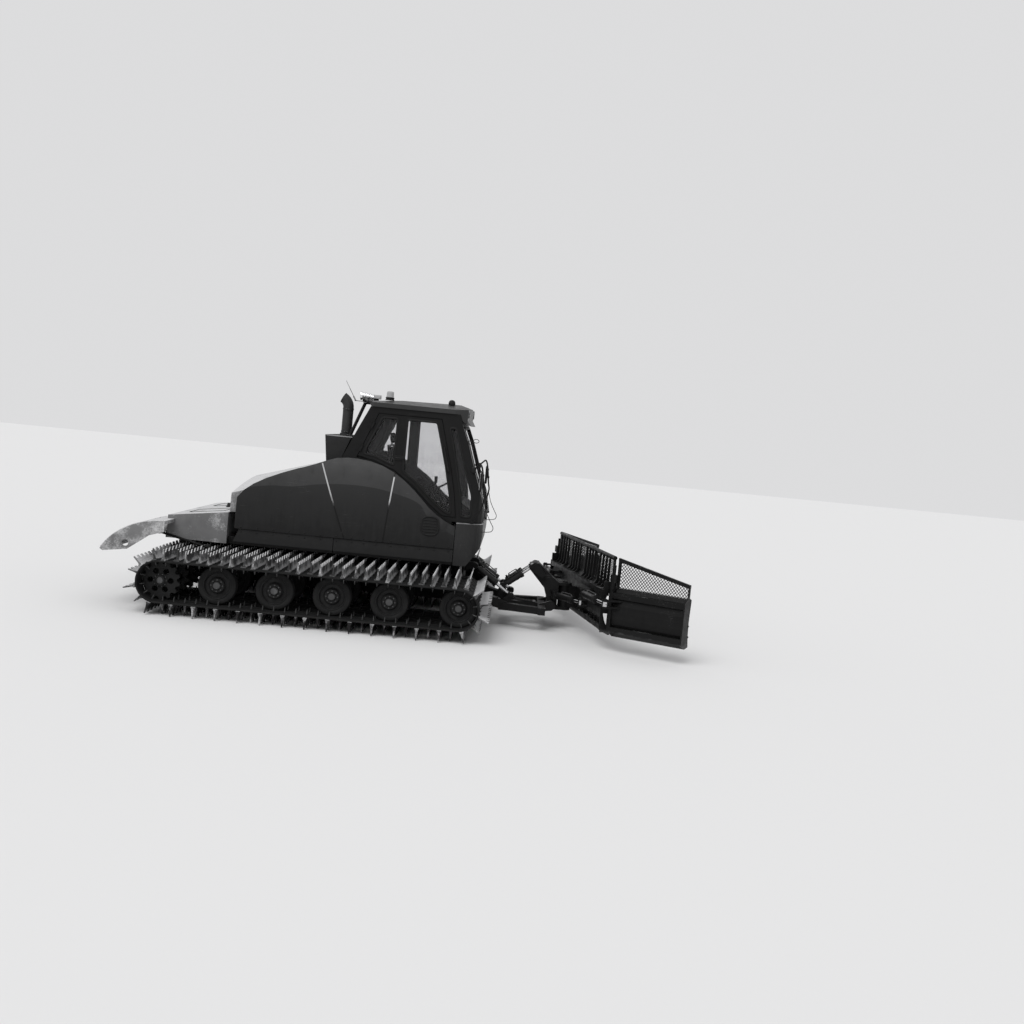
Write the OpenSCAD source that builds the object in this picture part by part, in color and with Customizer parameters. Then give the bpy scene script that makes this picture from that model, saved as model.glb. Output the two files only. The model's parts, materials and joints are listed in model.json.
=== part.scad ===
/* [Track] */
// Sprocket centre along the machine, seen from the origin under the middle of its box
sprocket_x = -2925; // [-3100:5:-2800]
// Distance from the sprocket's axis to the idler's axis
track_base = 3790; // [3600:10:4000]
// Width over both tracks
over_tracks = 4200; // [4100:10:4300]
// Width of one track
track_w = 1480; // [1400:10:1500]
// Radius of the belt's outer face round the sprocket and the idler
belt_r = 270; // [255:1:285]
// Thickness of the rubber belt
belt_t = 22; // [18:1:26]
// Height of a track bar over the belt
lug_h = 150; // [120:1:165]
// Width of a track bar at its foot
lug_foot = 52; // [40:1:60]
// Width of a track bar at its tip
lug_tip = 14; // [10:1:24]
// Number of track bars on one track
lug_count = 66; // [60:2:70]
// Radius of an axle
axle_r = 45; // [35:1:50]

/* [Chassis] */
// Width of the tub between the tracks
tub_w = 1000; // [900:10:1040]
// Underside of the tub over the ground
tub_z = 330; // [300:5:360]
// How far the platform's edge lies inside the body's side
deck_inset = 100; // [85:1:115]
// Thickness of the platform
platform_t = 90; // [70:1:110]
// Clearance between the tips of the track bars and the body
track_clear = 45; // [40:1:60]

/* [Bodywork] */
// Half width of the body at the side panel's fullest height
body_half = 1260; // [1240:1:1280]
// Radius of the side panel's curve across the machine
flank_r = 2600; // [2400:10:2800]
// Thickness of the body panels
skin_t = 35; // [25:1:40]
// Width of a seam between two panels
seam_w = 8; // [5:1:10]
// Thickness of the curved rear fender
fender_t = 45; // [30:1:50]
// Outer edge of the rear fender, from the middle of the machine
fender_out = 1700; // [1600:10:1800]

/* [Cab] */
// How far the cab's side lies inside the body's side, at the cab's floor
cab_inset = 175; // [170:1:190]
// How much each side of the cab leans in up to the roof
cab_taper = 135; // [130:1:155]
// Thickness of the cab's walls and doors
wall = 45; // [35:1:55]
// Gap round a door
door_gap = 8; // [6:1:12]
// Thickness of the glass
glass_t = 8; // [6:1:10]

/* [Stack and lamps] */
// Radius of the exhaust stack
stack_r = 72; // [60:1:85]
// Radius of a rear work lamp
lamp_r = 62; // [50:1:70]
// Number of rear work lamps
lamp_count = 4; // [3:1:5]

/* [Blade] */
// Distance between the two wing hinges
blade_w = 3200; // [3000:10:3300]
// Length of a wing
wing_len = 1050; // [950:10:1100]
// Height of the solid part of the blade
blade_h = 620; // [580:5:660]
// Height of the grille over the solid part
grille_h = 390; // [340:5:420]
// Radius of the blade's hollow front face
mould_r = 420; // [400:5:460]
// Thickness of the blade plate
mould_t = 24; // [18:1:30]
// Height of the cutting edge over the ground
blade_z = 200; // [120:5:220]
// Angle of the blade about its swivel pin, as parked
blade_angle = 11; // [0:1:14]
// Forward fold of each wing, as parked
wing_fold = 50; // [30:1:55]
// Spacing of the diamond grille
mesh_pitch = 140; // [120:5:200]

/* [Cylinders] */
// Radius of a cylinder's barrel
barrel_r = 48; // [40:1:52]
// Radius of a cylinder's rod
rod_r = 22; // [18:1:26]
// Radius of a cylinder's pin
pin_r = 20; // [16:1:22]
// Side clearance of an eye between its ears
eye_gap = 0.5; // [0.3:0.1:1]

/* [Rear hitch] */
// Radius of the bores that carry a rear tool
hitch_bore_r = 20; // [16:1:25]
// Distance between the two lower coupling points
hitch_span = 820; // [700:10:860]

/* [Hidden] */
$fn = 48;

red = [0.30, 0.30, 0.31];
black = [0.06, 0.06, 0.065];
steel = [0.42, 0.42, 0.43];
pale = [0.66, 0.67, 0.68];
clear = [0.30, 0.33, 0.35, 0.4];

// Gap left where a round face rests on another face
seat = 0.3;
hub_z = belt_r + lug_h;
track_out = over_tracks / 2;
track_in = track_out - track_w;
tub_half = tub_w / 2;
floor_z = hub_z + belt_r + lug_h + track_clear;
platform_z = floor_z + platform_t;
deck_w = 2 * (body_half - deck_inset);
cab_half = body_half - cab_inset;
cab_half_top = cab_half - cab_taper;
// Half width of a cut or an outline that passes the whole body
across = body_half + 40;
// Where the bodywork's sides start and end along the machine, from the sprocket's axis
body_back = 700;
body_front = 3630;
// Middle plane of the machine: the angled blade reaches further out on the left
middle_y = -184.3;

// A place along the machine, measured forwards from the sprocket's axis
function at(x) = sprocket_x + x;
function unit(v) = v / norm(v);
function bezier(a, b, c, d, n) =
    [for (i = [0 : n])
        let (t = i / n, s = 1 - t)
        s * s * s * a + 3 * s * s * t * b + 3 * s * t * t * c + t * t * t * d];
// An outline drawn anticlockwise, moved inwards by d
function inset(p, d) = let (n = len(p)) [
    for (i = [0 : n - 1])
        let (u = unit(p[i] - p[(i + n - 1) % n]), v = unit(p[(i + 1) % n] - p[i]),
             nu = [-u[1], u[0]], nv = [-v[1], v[0]])
        p[i] + d / (1 + nu * nv) * (nu + nv)
];
function shifted(p) = [for (q = p) [at(q[0]), q[1]]];
function turned(p, a) = [p[0] * cos(a) - p[1] * sin(a), p[0] * sin(a) + p[1] * cos(a)];
function backwards(p) = [for (i = [len(p) - 1 : -1 : 0]) p[i]];

// A sub-part in its colour, moved so that the origin is under the middle of the whole box
module paint(tone) {
    translate([0, middle_y, 0]) color(tone) children();
}
// An outline in X and Z, extruded from y0 to y1
module side_prism(p, y0, y1) {
    translate([0, y1, 0]) rotate([90, 0, 0]) linear_extrude(y1 - y0) polygon(p);
}
// An outline in Y and Z, extruded from x0 to x1
module front_prism(p, x0, x1) {
    translate([x0, 0, 0]) rotate([90, 0, 90]) linear_extrude(x1 - x0) polygon(p);
}
module both_sides() {
    children();
    mirror([0, 1, 0]) children();
}
module box(low, high) {
    translate(low) cube(high - low);
}
module tube_y(x, z, y0, y1, r) {
    translate([x, y0, z]) rotate([-90, 0, 0]) cylinder(r = r, h = y1 - y0);
}
// A round bar from a to b
module bar(a, b, r) {
    d = b - a;
    translate(a) rotate([0, acos(d[2] / norm(d)), atan2(d[1], d[0])]) cylinder(r = r, h = norm(d));
}

/* Track */
run = track_base;
bend = PI * belt_r;
loop_len = 2 * (run + bend);
// Place and outward direction on the belt's outer face, s along it from over the sprocket
function belt_at(s) =
    s < run ? [[s, belt_r], [0, 1]]
    : s < run + bend ? round_hub([run, 0], 90 - (s - run) / belt_r * 180 / PI)
    : s < 2 * run + bend ? [[2 * run + bend - s, -belt_r], [0, -1]]
    : round_hub([0, 0], -90 - (s - 2 * run - bend) / belt_r * 180 / PI);
function round_hub(hub, a) = [hub + belt_r * [cos(a), sin(a)], [cos(a), sin(a)]];
function lug_points(s, h) =
    let (p = belt_at(s)[0], n = belt_at(s)[1], t = [n[1], -n[0]])
    [
        belt_at(s - lug_foot / 2)[0], p + h * n - lug_tip / 2 * t,
        p + h * n + lug_tip / 2 * t, belt_at(s + lug_foot / 2)[0],
    ];
function track_outline(h) =
    [for (i = [0 : lug_count - 1]) each lug_points((i + 0.5) * loop_len / lug_count, h)];

module belt_inside() {
    r = belt_r - belt_t;
    circle(r);
    translate([run, 0]) circle(r);
    translate([0, -r]) square([run, 2 * r]);
}
module track() {
    translate([sprocket_x, track_out, hub_z]) rotate([90, 0, 0]) linear_extrude(track_w)
        difference() {
            polygon(track_outline(lug_h));
            belt_inside();
        }
}
module track_left() {
    paint(black) track();
}
module track_right() {
    paint(black) mirror([0, 1, 0]) track();
}

/* Wheels */
wheel_r = belt_r - belt_t - seat;
wheel_w = 130;
wheel_hub_r = 95;
// Depth of the dished face of a wheel
dish = 34;
// Wheel places from the sprocket's axis; the last is the idler
wheel_at = [720, 1450, 2180, 2910, track_base];
wheel_y = [track_in + 340, track_out - 330];
module wheel() {
    // Half section of a wheel: distance from the axle, place along it
    outer_half = [
        [axle_r + seat, 0], [wheel_hub_r, 0], [wheel_hub_r + 15, dish], [wheel_r - 68, dish],
        [wheel_r - 53, 8], [wheel_r - 14, 0], [wheel_r, 16],
    ];
    section = concat(outer_half, [for (q = backwards(outer_half)) [q[0], wheel_w - q[1]]]);
    rotate([-90, 0, 0]) rotate_extrude() polygon(section);
}
module road_wheels() {
    paint(black)
        both_sides()
            for (x = wheel_at, y = wheel_y)
                translate([at(x), y, hub_z]) wheel();
}
tooth_count = 14;
module sprocket_disc() {
    r_tip = belt_r - belt_t - seat;
    r_root = r_tip - 38;
    // Toothed rim: root and tip radius by turns
    rim = [for (i = [0 : tooth_count - 1], k = [0 : 3])
        let (a = (i + [0, 0.3, 0.5, 0.8][k]) * 360 / tooth_count, r = k < 2 ? r_root : r_tip)
        r * [cos(a), sin(a)]];
    rotate([90, 0, 0]) linear_extrude(60, center = true)
        difference() {
            polygon(rim);
            circle(axle_r + seat);
            for (a = [0 : 60 : 300]) rotate(a) translate([130, 0]) circle(38);
        }
}
module sprockets() {
    paint(black)
        both_sides()
            for (y = [track_in + 220, track_in + 520, track_in + 820, track_out - 240])
                translate([sprocket_x, y, hub_z]) sprocket_disc();
}
module axles() {
    paint(steel)
        both_sides() {
            for (x = wheel_at)
                tube_y(at(x), hub_z, tub_half, wheel_y[1] + wheel_w + 12, axle_r);
            tube_y(sprocket_x, hub_z, tub_half, track_out - 180, axle_r);
        }
}

/* Chassis */
// Pins on the chassis, X and Z from the sprocket's axis and the ground
frame_pin = [3640, 470];
lift_base = [3905, 800];
hitch_pin = [-375, 430];
hitch_arm_w = 50;
upper_hitch = [-250, 755];
arm_y = 400;
lift_y = 290;
pitch_y = 150;
ear_t = 25;
eye_w = 60;
eye_r = 40;
// Length of a barrel's neck, which lets it swing between its ears
neck = 64;
ear_r = 44;
// Outline of an ear: an arc round its pin from angle a0 to a1, then the points of its foot
function ear(pin, a0, a1, foot) = concat(
    [for (i = [0 : 8]) let (a = a0 + (a1 - a0) * i / 8) pin + ear_r * [cos(a), sin(a)]], foot);

// Brackets that carry the side panels, with the gap between them and the cab
bracket_at = [860, 1560, 2400, 3200];
bracket_w = 40;
bracket_t = 24;
bracket_gap = 27;
tub_side = shifted([
    [-190, tub_z + 140], [-60, tub_z], [3560, tub_z], [3760, tub_z + 230], [3760, floor_z], [-190, floor_z],
]);
frame_pin_r = pin_r + 10;
hitch_side = shifted([[-190, 480], [-400, 480], [-425, 455], [-425, 405], [-400, 380], [-190, 360]]);
nose_ear = shifted(ear(lift_base, -110, 80, [[3700, 860], [3700, 700]]));
// Two plates of thickness t, one each side of a gap round y
module ears(p, y, gap, t) {
    side_prism(p, y - gap / 2 - t, y - gap / 2);
    side_prism(p, y + gap / 2, y + gap / 2 + t);
}
module panel_bracket(x) {
    y0 = cab_half + bracket_gap;
    top = panel_foot + 50;
    box([at(x), y0, platform_z - 1], [at(x + bracket_w), deck_w / 2, top]);
    box([at(x), y0, top - bracket_t], [at(x + bracket_w), body_half - skin_t - seat, top]);
}
module chassis() {
    paint(black) {
        difference() {
            union() {
                side_prism(tub_side, -tub_half, tub_half);
                box([at(-190), -deck_w / 2, floor_z], [at(body_front - 10), deck_w / 2, platform_z]);
                both_sides()
                    for (x = bracket_at) panel_bracket(x);
                both_sides() ears(nose_ear, lift_y, eye_w + 2 * eye_gap, ear_t);
                // Rear hitch: two lower arms and a pair of upper ears
                both_sides() side_prism(hitch_side, hitch_span / 2 - hitch_arm_w / 2, hitch_span / 2 + hitch_arm_w / 2);
                ears(shifted([[-290, 700], [-190, 660], [-190, 860], [-290, 800]]), 0, eye_w + 2 * eye_gap, ear_t);
            }
            // Room for the push frame's arms and the lift cylinders
            both_sides() box([at(3520), arm_y - 60, tub_z - 10], [at(3800), arm_y + 60, 640]);
            both_sides() tube_y(at(hitch_pin[0]), hitch_pin[1], 0, track_in, hitch_bore_r);
            tube_y(at(upper_hitch[0]), upper_hitch[1], -200, 200, hitch_bore_r);
            // Engine bay
            box([at(900), -430, platform_z - 60], [at(1900), 430, platform_z + 1]);
        }
        // Pins that carry the push frame and the lift cylinders
        both_sides() {
            tube_y(at(frame_pin[0]), frame_pin[1], arm_y - 62, tub_half + 20, frame_pin_r);
            tube_y(at(lift_base[0]), lift_base[1],
                lift_y - eye_w / 2 - ear_t - 8, lift_y + eye_w / 2 + ear_t + 8, pin_r);
        }
    }
}
module engine() {
    paint(steel)
        box([at(940), -400, platform_z - 60], [at(1700), 400, 1660]);
}

/* Bodywork */
// Upper edge of the side panel, X from the sprocket's axis and Z
panel_top = concat(
    bezier([730, 1510], [820, 1690], [1120, 1830], [1480, 1960], 5),
    bezier([1560, 1985], [1800, 2060], [1900, 2160], [2120, 2160], 4),
    bezier([2240, 2158], [2620, 2145], [2880, 1980], [3180, 1680], 6),
    bezier([3240, 1620], [3400, 1480], [3560, 1400], [3800, 1340], 4)
);
panel_foot = 1100;
panel_side = concat([[730, panel_foot], [3800, panel_foot]], backwards(panel_top));
seam_rear = [[1730, 2200], [2220, 1000]];
seam_front = [[2775, 2200], [2680, 1000]];
module seam_cut(s) {
    h = [seam_w / 2, 0];
    side_prism(shifted([s[1] - h, s[1] + h, s[0] + h, s[0] - h]), 700, across);
}
module flank(r) {
    translate([at(0), body_half - flank_r, panel_foot + 50]) rotate([0, 90, 0]) cylinder(r = r, h = 4200, $fn = 128);
}
// Least gap between the side panels and the cab
panel_gap = 8;
module side_panels() {
    paint(red)
        both_sides()
            intersection() {
                difference() {
                    flank(flank_r);
                    flank(flank_r - skin_t);
                    seam_cut(seam_rear);
                    seam_cut(seam_front);
                    // The cab's sides lean in beside the panels
                    cab_volume(-panel_gap);
                }
                side_prism(shifted(panel_side), body_half - 360, across);
                box([at(body_back), 0, 0], [at(body_front - seam_w), across, 3000]);
            }
}
sill_out = body_half - 22;
sill_seam = 2040;
module side_sills() {
    z0 = floor_z;
    z1 = panel_foot - seam_w;
    y0 = deck_w / 2 + seat;
    section = [
        [y0, z0], [sill_out - 20, z0], [sill_out, z0 + 40], [sill_out, z1],
        [sill_out - skin_t, z1], [sill_out - skin_t, z0 + 50], [y0, z0 + 30],
    ];
    // The rear end slants forwards
    slant = [[-10, z0 - 5], [0, z0 - 5], [90, z1 + 5], [-10, z1 + 5]];
    paint(red)
        both_sides()
            difference() {
                front_prism(section, at(body_back), at(body_front - 10));
                box([at(sill_seam - seam_w / 2), 0, 0], [at(sill_seam + seam_w / 2), across, panel_foot]);
                translate([at(body_back), 0, 0]) side_prism(slant, 0, across);
            }
}
nose_front = 3985;
nose_corner = 330;
nose_half = body_half - 10;
nose_top = 1440;
// Half of the nose seen from above, with its rounded corner, moved inwards by d
function nose_corner_plan(d) = concat(
    [for (a = [10 : 10 : 80])
        [nose_front - nose_corner, nose_half - nose_corner] + (nose_corner - d) * [cos(a), sin(a)]],
    [[nose_front - d - nose_corner, nose_half - d], [body_front - 5 * d, nose_half - d]]
);
function nose_plan(d) =
    concat([for (q = backwards(nose_corner_plan(d))) [q[0], -q[1]]], nose_corner_plan(d));
function nose_side(d) = [
    [body_front - 30 - 5 * d, floor_z + d], [3800 - d, floor_z + d], [3965 - d, 1115], [nose_front - d, 1330],
    [nose_front - 5 - d, nose_top - d], [body_front - 30 - 5 * d, nose_top - d],
];
module nose_volume(d) {
    intersection() {
        translate([0, 0, floor_z]) linear_extrude(600) polygon(shifted(nose_plan(d)));
        side_prism(shifted(nose_side(d)), -across, across);
    }
}
headlight_r = 91;
// Places of the headlights, Y and Z
headlight_at = [nose_half - 430, 1215];
module nose_panel() {
    paint(red)
        difference() {
            nose_volume(0);
            nose_volume(skin_t);
            // Seats of the headlights
            both_sides()
                translate([at(nose_front), headlight_at[0], headlight_at[1]]) rotate([0, -90, 0])
                    cylinder(r = headlight_r + 1, h = 160, center = true);
        }
}
hood_pin = [1746, 2010];
hood_slope = 17;
hood_crown = 4200;
hood_gap = 20;
hinge_r = 12;
hinge_y = 520;
hinge_w = 90;
hood_back = 640;
hood_front = 1730;
hood_side = [
    [hood_back, 1310], [722, 1310], [722, 1450], [790, 1560], [900, 1680], [1120, 1785], [1480, 1915],
    [hood_front, 2005], [hood_front, 2300], [740, 2300], [735, 1755], [hood_back, 1560],
];
hood_inside = [
    [hood_back + skin_t, 1300], [hood_front - skin_t, 1300], [hood_front - skin_t, 2300],
    [735 + skin_t, 2300], [733 + skin_t, 1745], [hood_back + skin_t, 1550],
];
module hood_flank(d) {
    translate([at(0), body_half - flank_r, panel_foot + 50]) rotate([0, 90, 0])
        cylinder(r = flank_r - skin_t - hood_gap - d, h = 2000, $fn = 400);
}
module hood_volume(p, d) {
    intersection() {
        side_prism(shifted(p), -body_half, body_half);
        hood_flank(d);
        mirror([0, 1, 0]) hood_flank(d);
        // Crown across the machine, along the hood's slope
        translate([at(740), 0, 1762]) rotate([0, -hood_slope, 0]) translate([-400, 0, -hood_crown])
            rotate([0, 90, 0]) cylinder(r = hood_crown - d, h = 2000, $fn = 160);
    }
}
module hood() {
    paint(pale)
        difference() {
            union() {
                difference() {
                    hood_volume(hood_side, 0);
                    hood_volume(hood_inside, skin_t);
                }
                both_sides()
                    tube_y(at(hood_pin[0]), hood_pin[1], hinge_y, hinge_y + hinge_w, hinge_r + 10);
            }
            both_sides()
                tube_y(at(hood_pin[0]), hood_pin[1], hinge_y - 1, hinge_y + hinge_w + 1, hinge_r + seat);
        }
}
deck_front = 636;
deck_back = -152;
deck_half = body_half - 10;
// Height of the sloped deck at its rear and front edges
deck_top = [1195, 1302];
deck_t = 40;
module rear_deck() {
    outside = [
        [deck_back, platform_z], [deck_front, platform_z],
        [deck_front, deck_top[1]], [deck_back, deck_top[0]],
    ];
    inside = [
        [deck_back + skin_t, platform_z - 1], [deck_front - skin_t, platform_z - 1],
        [deck_front - skin_t, deck_top[1] - deck_t], [deck_back + skin_t, deck_top[0] - deck_t],
    ];
    // The side walls reach down beside the platform
    skirt = [
        [deck_back, floor_z + 12], [deck_front, floor_z + 3],
        [deck_front, platform_z + 1], [deck_back, platform_z + 1],
    ];
    paint(pale) {
        difference() {
            side_prism(shifted(outside), -deck_half, deck_half);
            side_prism(shifted(inside), skin_t - deck_half, deck_half - skin_t);
        }
        both_sides() side_prism(shifted(skirt), deck_half - skin_t, deck_half);
    }
}
fender_arc = bezier([-60, 1150], [-380, 1150], [-700, 1010], [-868, 730], 8);
fender_in = 700;
gusset_t = 22;
module rear_fenders() {
    last = len(fender_arc) - 1;
    under = [for (i = [last : -1 : 0])
        let (j = min(i, last - 1), u = unit(fender_arc[j + 1] - fender_arc[j]))
        fender_arc[i] + fender_t * [-u[1], u[0]]];
    paint(red)
        both_sides()
            difference() {
                union() {
                    side_prism(shifted(concat(fender_arc, under)), fender_in, fender_out);
                    // Side gusset with its hole
                    difference() {
                        side_prism(shifted(concat(under, [[-60, 1010], [-250, 950], [-520, 750]])),
                            fender_out - gusset_t, fender_out);
                        tube_y(at(-545), 830, fender_out - 2 * gusset_t, fender_out + 10, 42);
                    }
                }
                box([at(deck_back - seat), 0, 0], [at(100), deck_half + seat, 2000]);
            }
}
intake_half = cab_half_top - 150;
intake_top = 2430;
intake_side = [
    [1785, 1900], [1978, 1900], [1978, 2115], [2098, intake_top], [1745, intake_top], [1785, 2075],
];
// Plate that carries the hood's hinge pin, cut back where the open hood swings past
hinge_ear = [for (q = [[-11, -18], [44, -35], [44, 40], [14, 30], [-11, 5]]) hood_pin + q];
hinge_ear_t = 16;
louvre_h = 22;
louvre_pitch = 50;
module air_intake() {
    paint(black) {
        difference() {
            union() {
                side_prism(shifted(intake_side), -intake_half, intake_half);
                both_sides()
                    for (y = [hinge_y - hinge_ear_t - 0.5, hinge_y + hinge_w + 0.5])
                        side_prism(shifted(hinge_ear), y, y + hinge_ear_t);
            }
            // Louvre slots across the rear face
            for (z = [2140 : louvre_pitch : 2360])
                box([at(1700), 100 - intake_half, z], [at(1790), intake_half - 100, z + louvre_h]);
        }
        both_sides()
            tube_y(at(hood_pin[0]), hood_pin[1], hinge_y - hinge_ear_t, hinge_y + hinge_w + hinge_ear_t, hinge_r);
    }
}
stack_at = [1975, -450];
stack_h = 390;
stack_bend = 150;
stack_t = 8;
module exhaust() {
    paint(black)
        translate([at(stack_at[0]), stack_at[1], intake_top + seat]) {
            difference() {
                union() {
                    cylinder(r = stack_r, h = stack_h);
                    cylinder(r = stack_r + 14, h = 40);
                }
                translate([0, 0, -1]) cylinder(r = stack_r - stack_t, h = stack_h + 5);
            }
            // Curved end, open to the rear
            translate([-stack_bend, 0, stack_h]) rotate([90, 0, 0]) rotate_extrude(angle = 62)
                translate([stack_bend, 0]) difference() {
                    circle(stack_r, $fn = 32);
                    circle(stack_r - stack_t, $fn = 32);
                }
        }
}

/* Cab */
cab_foot = platform_z;
cab_floor = 1300;
cab_top = 2868;
// The cab's sides lean in from this height upwards
lean_z = 1150;
function lean(z) = cab_taper * (z - lean_z) / (cab_top - lean_z);
cab_back = 2005;
cab_front = 3985;
// Front end of the part of the cab that stands on the platform, and top of the nose under the rest
cab_step = [3560, nose_top + 6];
cab_side = [
    [cab_back, cab_foot], [cab_step[0], cab_foot], cab_step, [3962, cab_step[1]], [cab_front, 1500], [3925, 1800],
    [3800, 2148], [3690, 2480], [3590, 2720], [3545, cab_top], [2345, cab_top], [2190, 2534], [2010, 2120],
];
cab_corner = 300;
// The cab's outside, moved inwards by d: its side, front and plan outlines cut from each other
module cab_volume(d) {
    intersection() {
        side_prism(shifted(inset(cab_side, d)), -across, across);
        front_prism([
            [d - cab_half - 20, cab_foot - 10], [cab_half - d + 20, cab_foot - 10], [cab_half - d, lean_z],
            [cab_half_top - d, cab_top + 10], [d - cab_half_top, cab_top + 10], [d - cab_half, lean_z],
        ], at(cab_back - 105), at(cab_front + 115));
        translate([0, 0, cab_foot - 5]) linear_extrude(2500) polygon(shifted(cab_plan(d)));
    }
}
// Half of the cab seen from above, with its rounded front corner
function cab_corner_plan(d) =
    let (centre = [cab_front + 5 - cab_corner, cab_half + 20 - cab_corner])
    concat(
        [for (a = [15 : 15 : 75]) centre + (cab_corner - d) * [cos(a), sin(a)]],
        [[centre[0], cab_half + 115 - d], [cab_back - 105, cab_half + 115 - d]]
    );
function cab_plan(d) =
    concat([for (q = backwards(cab_corner_plan(d))) [q[0], -q[1]]], cab_corner_plan(d));
// Door outline: slanted rear edge, lower edge along the side panel's curve, front edge
door_foot = [[2225, 2182], [2440, 2160], [2740, 2050], [3000, 1870], [3240, 1645], [3420, 1514], [3600, 1506]];
door_top = 2780;
door_side = concat(door_foot, [[3560, 1800], [3480, 2148], [3380, 2500], [3300, door_top], [2465, door_top]]);
// Top of the door's panes, under its upper frame
pane_top = door_top - 45;
rear_pane = [[2300, 2235], [2450, 2215], [2720, 2110], [2720, pane_top], [2515, pane_top]];
front_pane = [
    [2850, 2040], [3030, 1920], [3260, 1710], [3430, 1575], [3535, 1530], [3500, 1790],
    [3420, 2140], [3325, 2480], [3250, pane_top], [2850, pane_top],
];
corner_pane = [
    [3670, 1520], [3800, 1520], [3800, 1800], [3700, 2080], [3590, 2420],
    [3510, 2680], [3420, 2680], [3480, 2480], [3560, 2150], [3640, 1800],
];
// Half width, lower and upper edge of the windscreen and of the rear window
windscreen = [cab_half_top - 160, 1520, 2690];
rear_window = [cab_half_top - 250, 2470, 2800];
module windscreen_box(gap) {
    box([at(3400), gap - windscreen[0], windscreen[1] + gap],
        [at(4100), windscreen[0] - gap, windscreen[2] - gap]);
}
module rear_window_box(gap) {
    box([at(2060), gap - rear_window[0], rear_window[1] + gap],
        [at(2420), rear_window[0] - gap, rear_window[2] - gap]);
}
module cab_shell() {
    paint(black)
        difference() {
            cab_volume(0);
            difference() {
                cab_volume(wall);
                box([at(cab_back - 105), -across, cab_floor - wall], [at(cab_front + 15), across, cab_floor]);
            }
            // Door openings, corner windows, windscreen and rear window
            side_prism(shifted(inset(door_side, -door_gap)), -across, across);
            side_prism(shifted(corner_pane), -across, across);
            windscreen_box(0);
            rear_window_box(0);
            // Open underside
            box([at(cab_back + wall), 85 - cab_half, cab_foot - 1],
                [at(cab_step[0] - wall), cab_half - 85, cab_floor - wall]);
        }
    // Fixed halves of the door hinges
    paint(black)
        both_sides() on_door_axis() {
            cylinder(r = door_pin_r, h = hinge_tube + 2 * hinge_end, center = true);
            for (z = [-hinge_tube / 2 - hinge_end - 1, hinge_tube / 2 + 1])
                translate([0, 0, z]) {
                    cylinder(r = 2 * door_pin_r, h = hinge_end);
                    translate([-70, -hinge_out - 3, 0]) cube([67, hinge_leaf, hinge_end]);
                }
        }
}
// Door hinges: a slanted axis on the outside of the door's rear edge
hinge_out = 17;
door_pin_r = 8;
function side_y(z) = cab_half - lean(z);
door_axis_low = [door_side[0][0], side_y(door_side[0][1]) + hinge_out, door_side[0][1]];
door_axis_high = let (p = door_side[len(door_side) - 1]) [p[0], side_y(p[1]) + hinge_out, p[1]];
door_axis = unit(door_axis_high - door_axis_low);
// Places of the two hinges along the axis
door_hinges = [130, 470];
hinge_tube = 60;
hinge_end = 15;
hinge_leaf = 11;
module on_door_axis() {
    translate([at(0), 0, 0]) translate(door_axis_low)
        rotate([-asin(door_axis[1]), atan2(door_axis[0], door_axis[2]), 0])
            for (t = door_hinges) translate([0, 0, t]) children();
}
// A pane lies in the middle of the wall
module pane_layer() {
    difference() {
        cab_volume((wall - glass_t) / 2);
        cab_volume((wall + glass_t) / 2);
    }
}
module cab_glass() {
    paint(clear)
        intersection() {
            pane_layer();
            union() {
                both_sides() side_prism(shifted(inset(corner_pane, seat)), 700, across);
                windscreen_box(seat);
                rear_window_box(seat);
            }
        }
}
door_in = cab_half_top - 70;
// The leaf's lower rear corner is cut away, because it dips as the door swings about its slanted axis
door_heel = [[2200, 2100], [2400, 2100], [2400, 2164], [2290, 2196], [2200, 2205]];
module door_leaf() {
    difference() {
        intersection() {
            difference() {
                cab_volume(0);
                cab_volume(wall);
            }
            side_prism(shifted(door_side), door_in, across);
        }
        for (p = [rear_pane, front_pane, door_heel]) side_prism(shifted(p), door_in, across);
    }
}
module door() {
    difference() {
        union() {
            door_leaf();
            on_door_axis() {
                cylinder(r = 2 * door_pin_r, h = hinge_tube, center = true);
                translate([0, -hinge_out - 3, -hinge_tube / 2]) cube([80, hinge_leaf, hinge_tube]);
            }
        }
        on_door_axis() cylinder(r = door_pin_r + seat, h = hinge_tube + 4, center = true);
    }
}
module door_glass() {
    intersection() {
        pane_layer();
        for (p = [rear_pane, front_pane]) side_prism(shifted(inset(p, seat)), door_in, across);
    }
}
module door_left() {
    paint(black) door();
}
module door_right() {
    paint(black) mirror([0, 1, 0]) door();
}
module door_glass_left() {
    paint(clear) door_glass();
}
module door_glass_right() {
    paint(clear) mirror([0, 1, 0]) door_glass();
}
roof_half = cab_half_top + 25;
roof_crown = 6006;
roof_side = [
    [2350, cab_top + seat], [3546, cab_top + seat], [3573, 2790], [3602, 2764], [3690, 2722], [3640, 2800],
    [3655, 2900], [3632, 2966], [3494, 3006], [2721, 2985], [2360, 2945], [2325, 2900],
];
// Half of the roof seen from above, from its front to its rear
roof_plan = [
    [3700, roof_half - 275], [3640, roof_half - 95], [3480, roof_half], [2380, roof_half], [2300, roof_half - 75],
];
roof_lamp_r = 56;
roof_lamp_at = [3600, roof_half - 185, 2890];
module cab_roof() {
    paint(red)
        difference() {
            intersection() {
                side_prism(shifted(roof_side), -roof_half - 10, roof_half + 10);
                translate([at(2200), 0, 3006 - roof_crown]) rotate([0, 90, 0])
                    cylinder(r = roof_crown, h = 1700, $fn = 200);
                linear_extrude(4000)
                    polygon(shifted(concat([for (q = backwards(roof_plan)) [q[0], -q[1]]], roof_plan)));
            }
            // Seats of the two front lamps
            both_sides()
                translate([at(roof_lamp_at[0]), roof_lamp_at[1], roof_lamp_at[2]]) rotate([0, 90, 0])
                    cylinder(r = roof_lamp_r + seat, h = 120);
        }
}
seat_at = [2860, 330];
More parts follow.
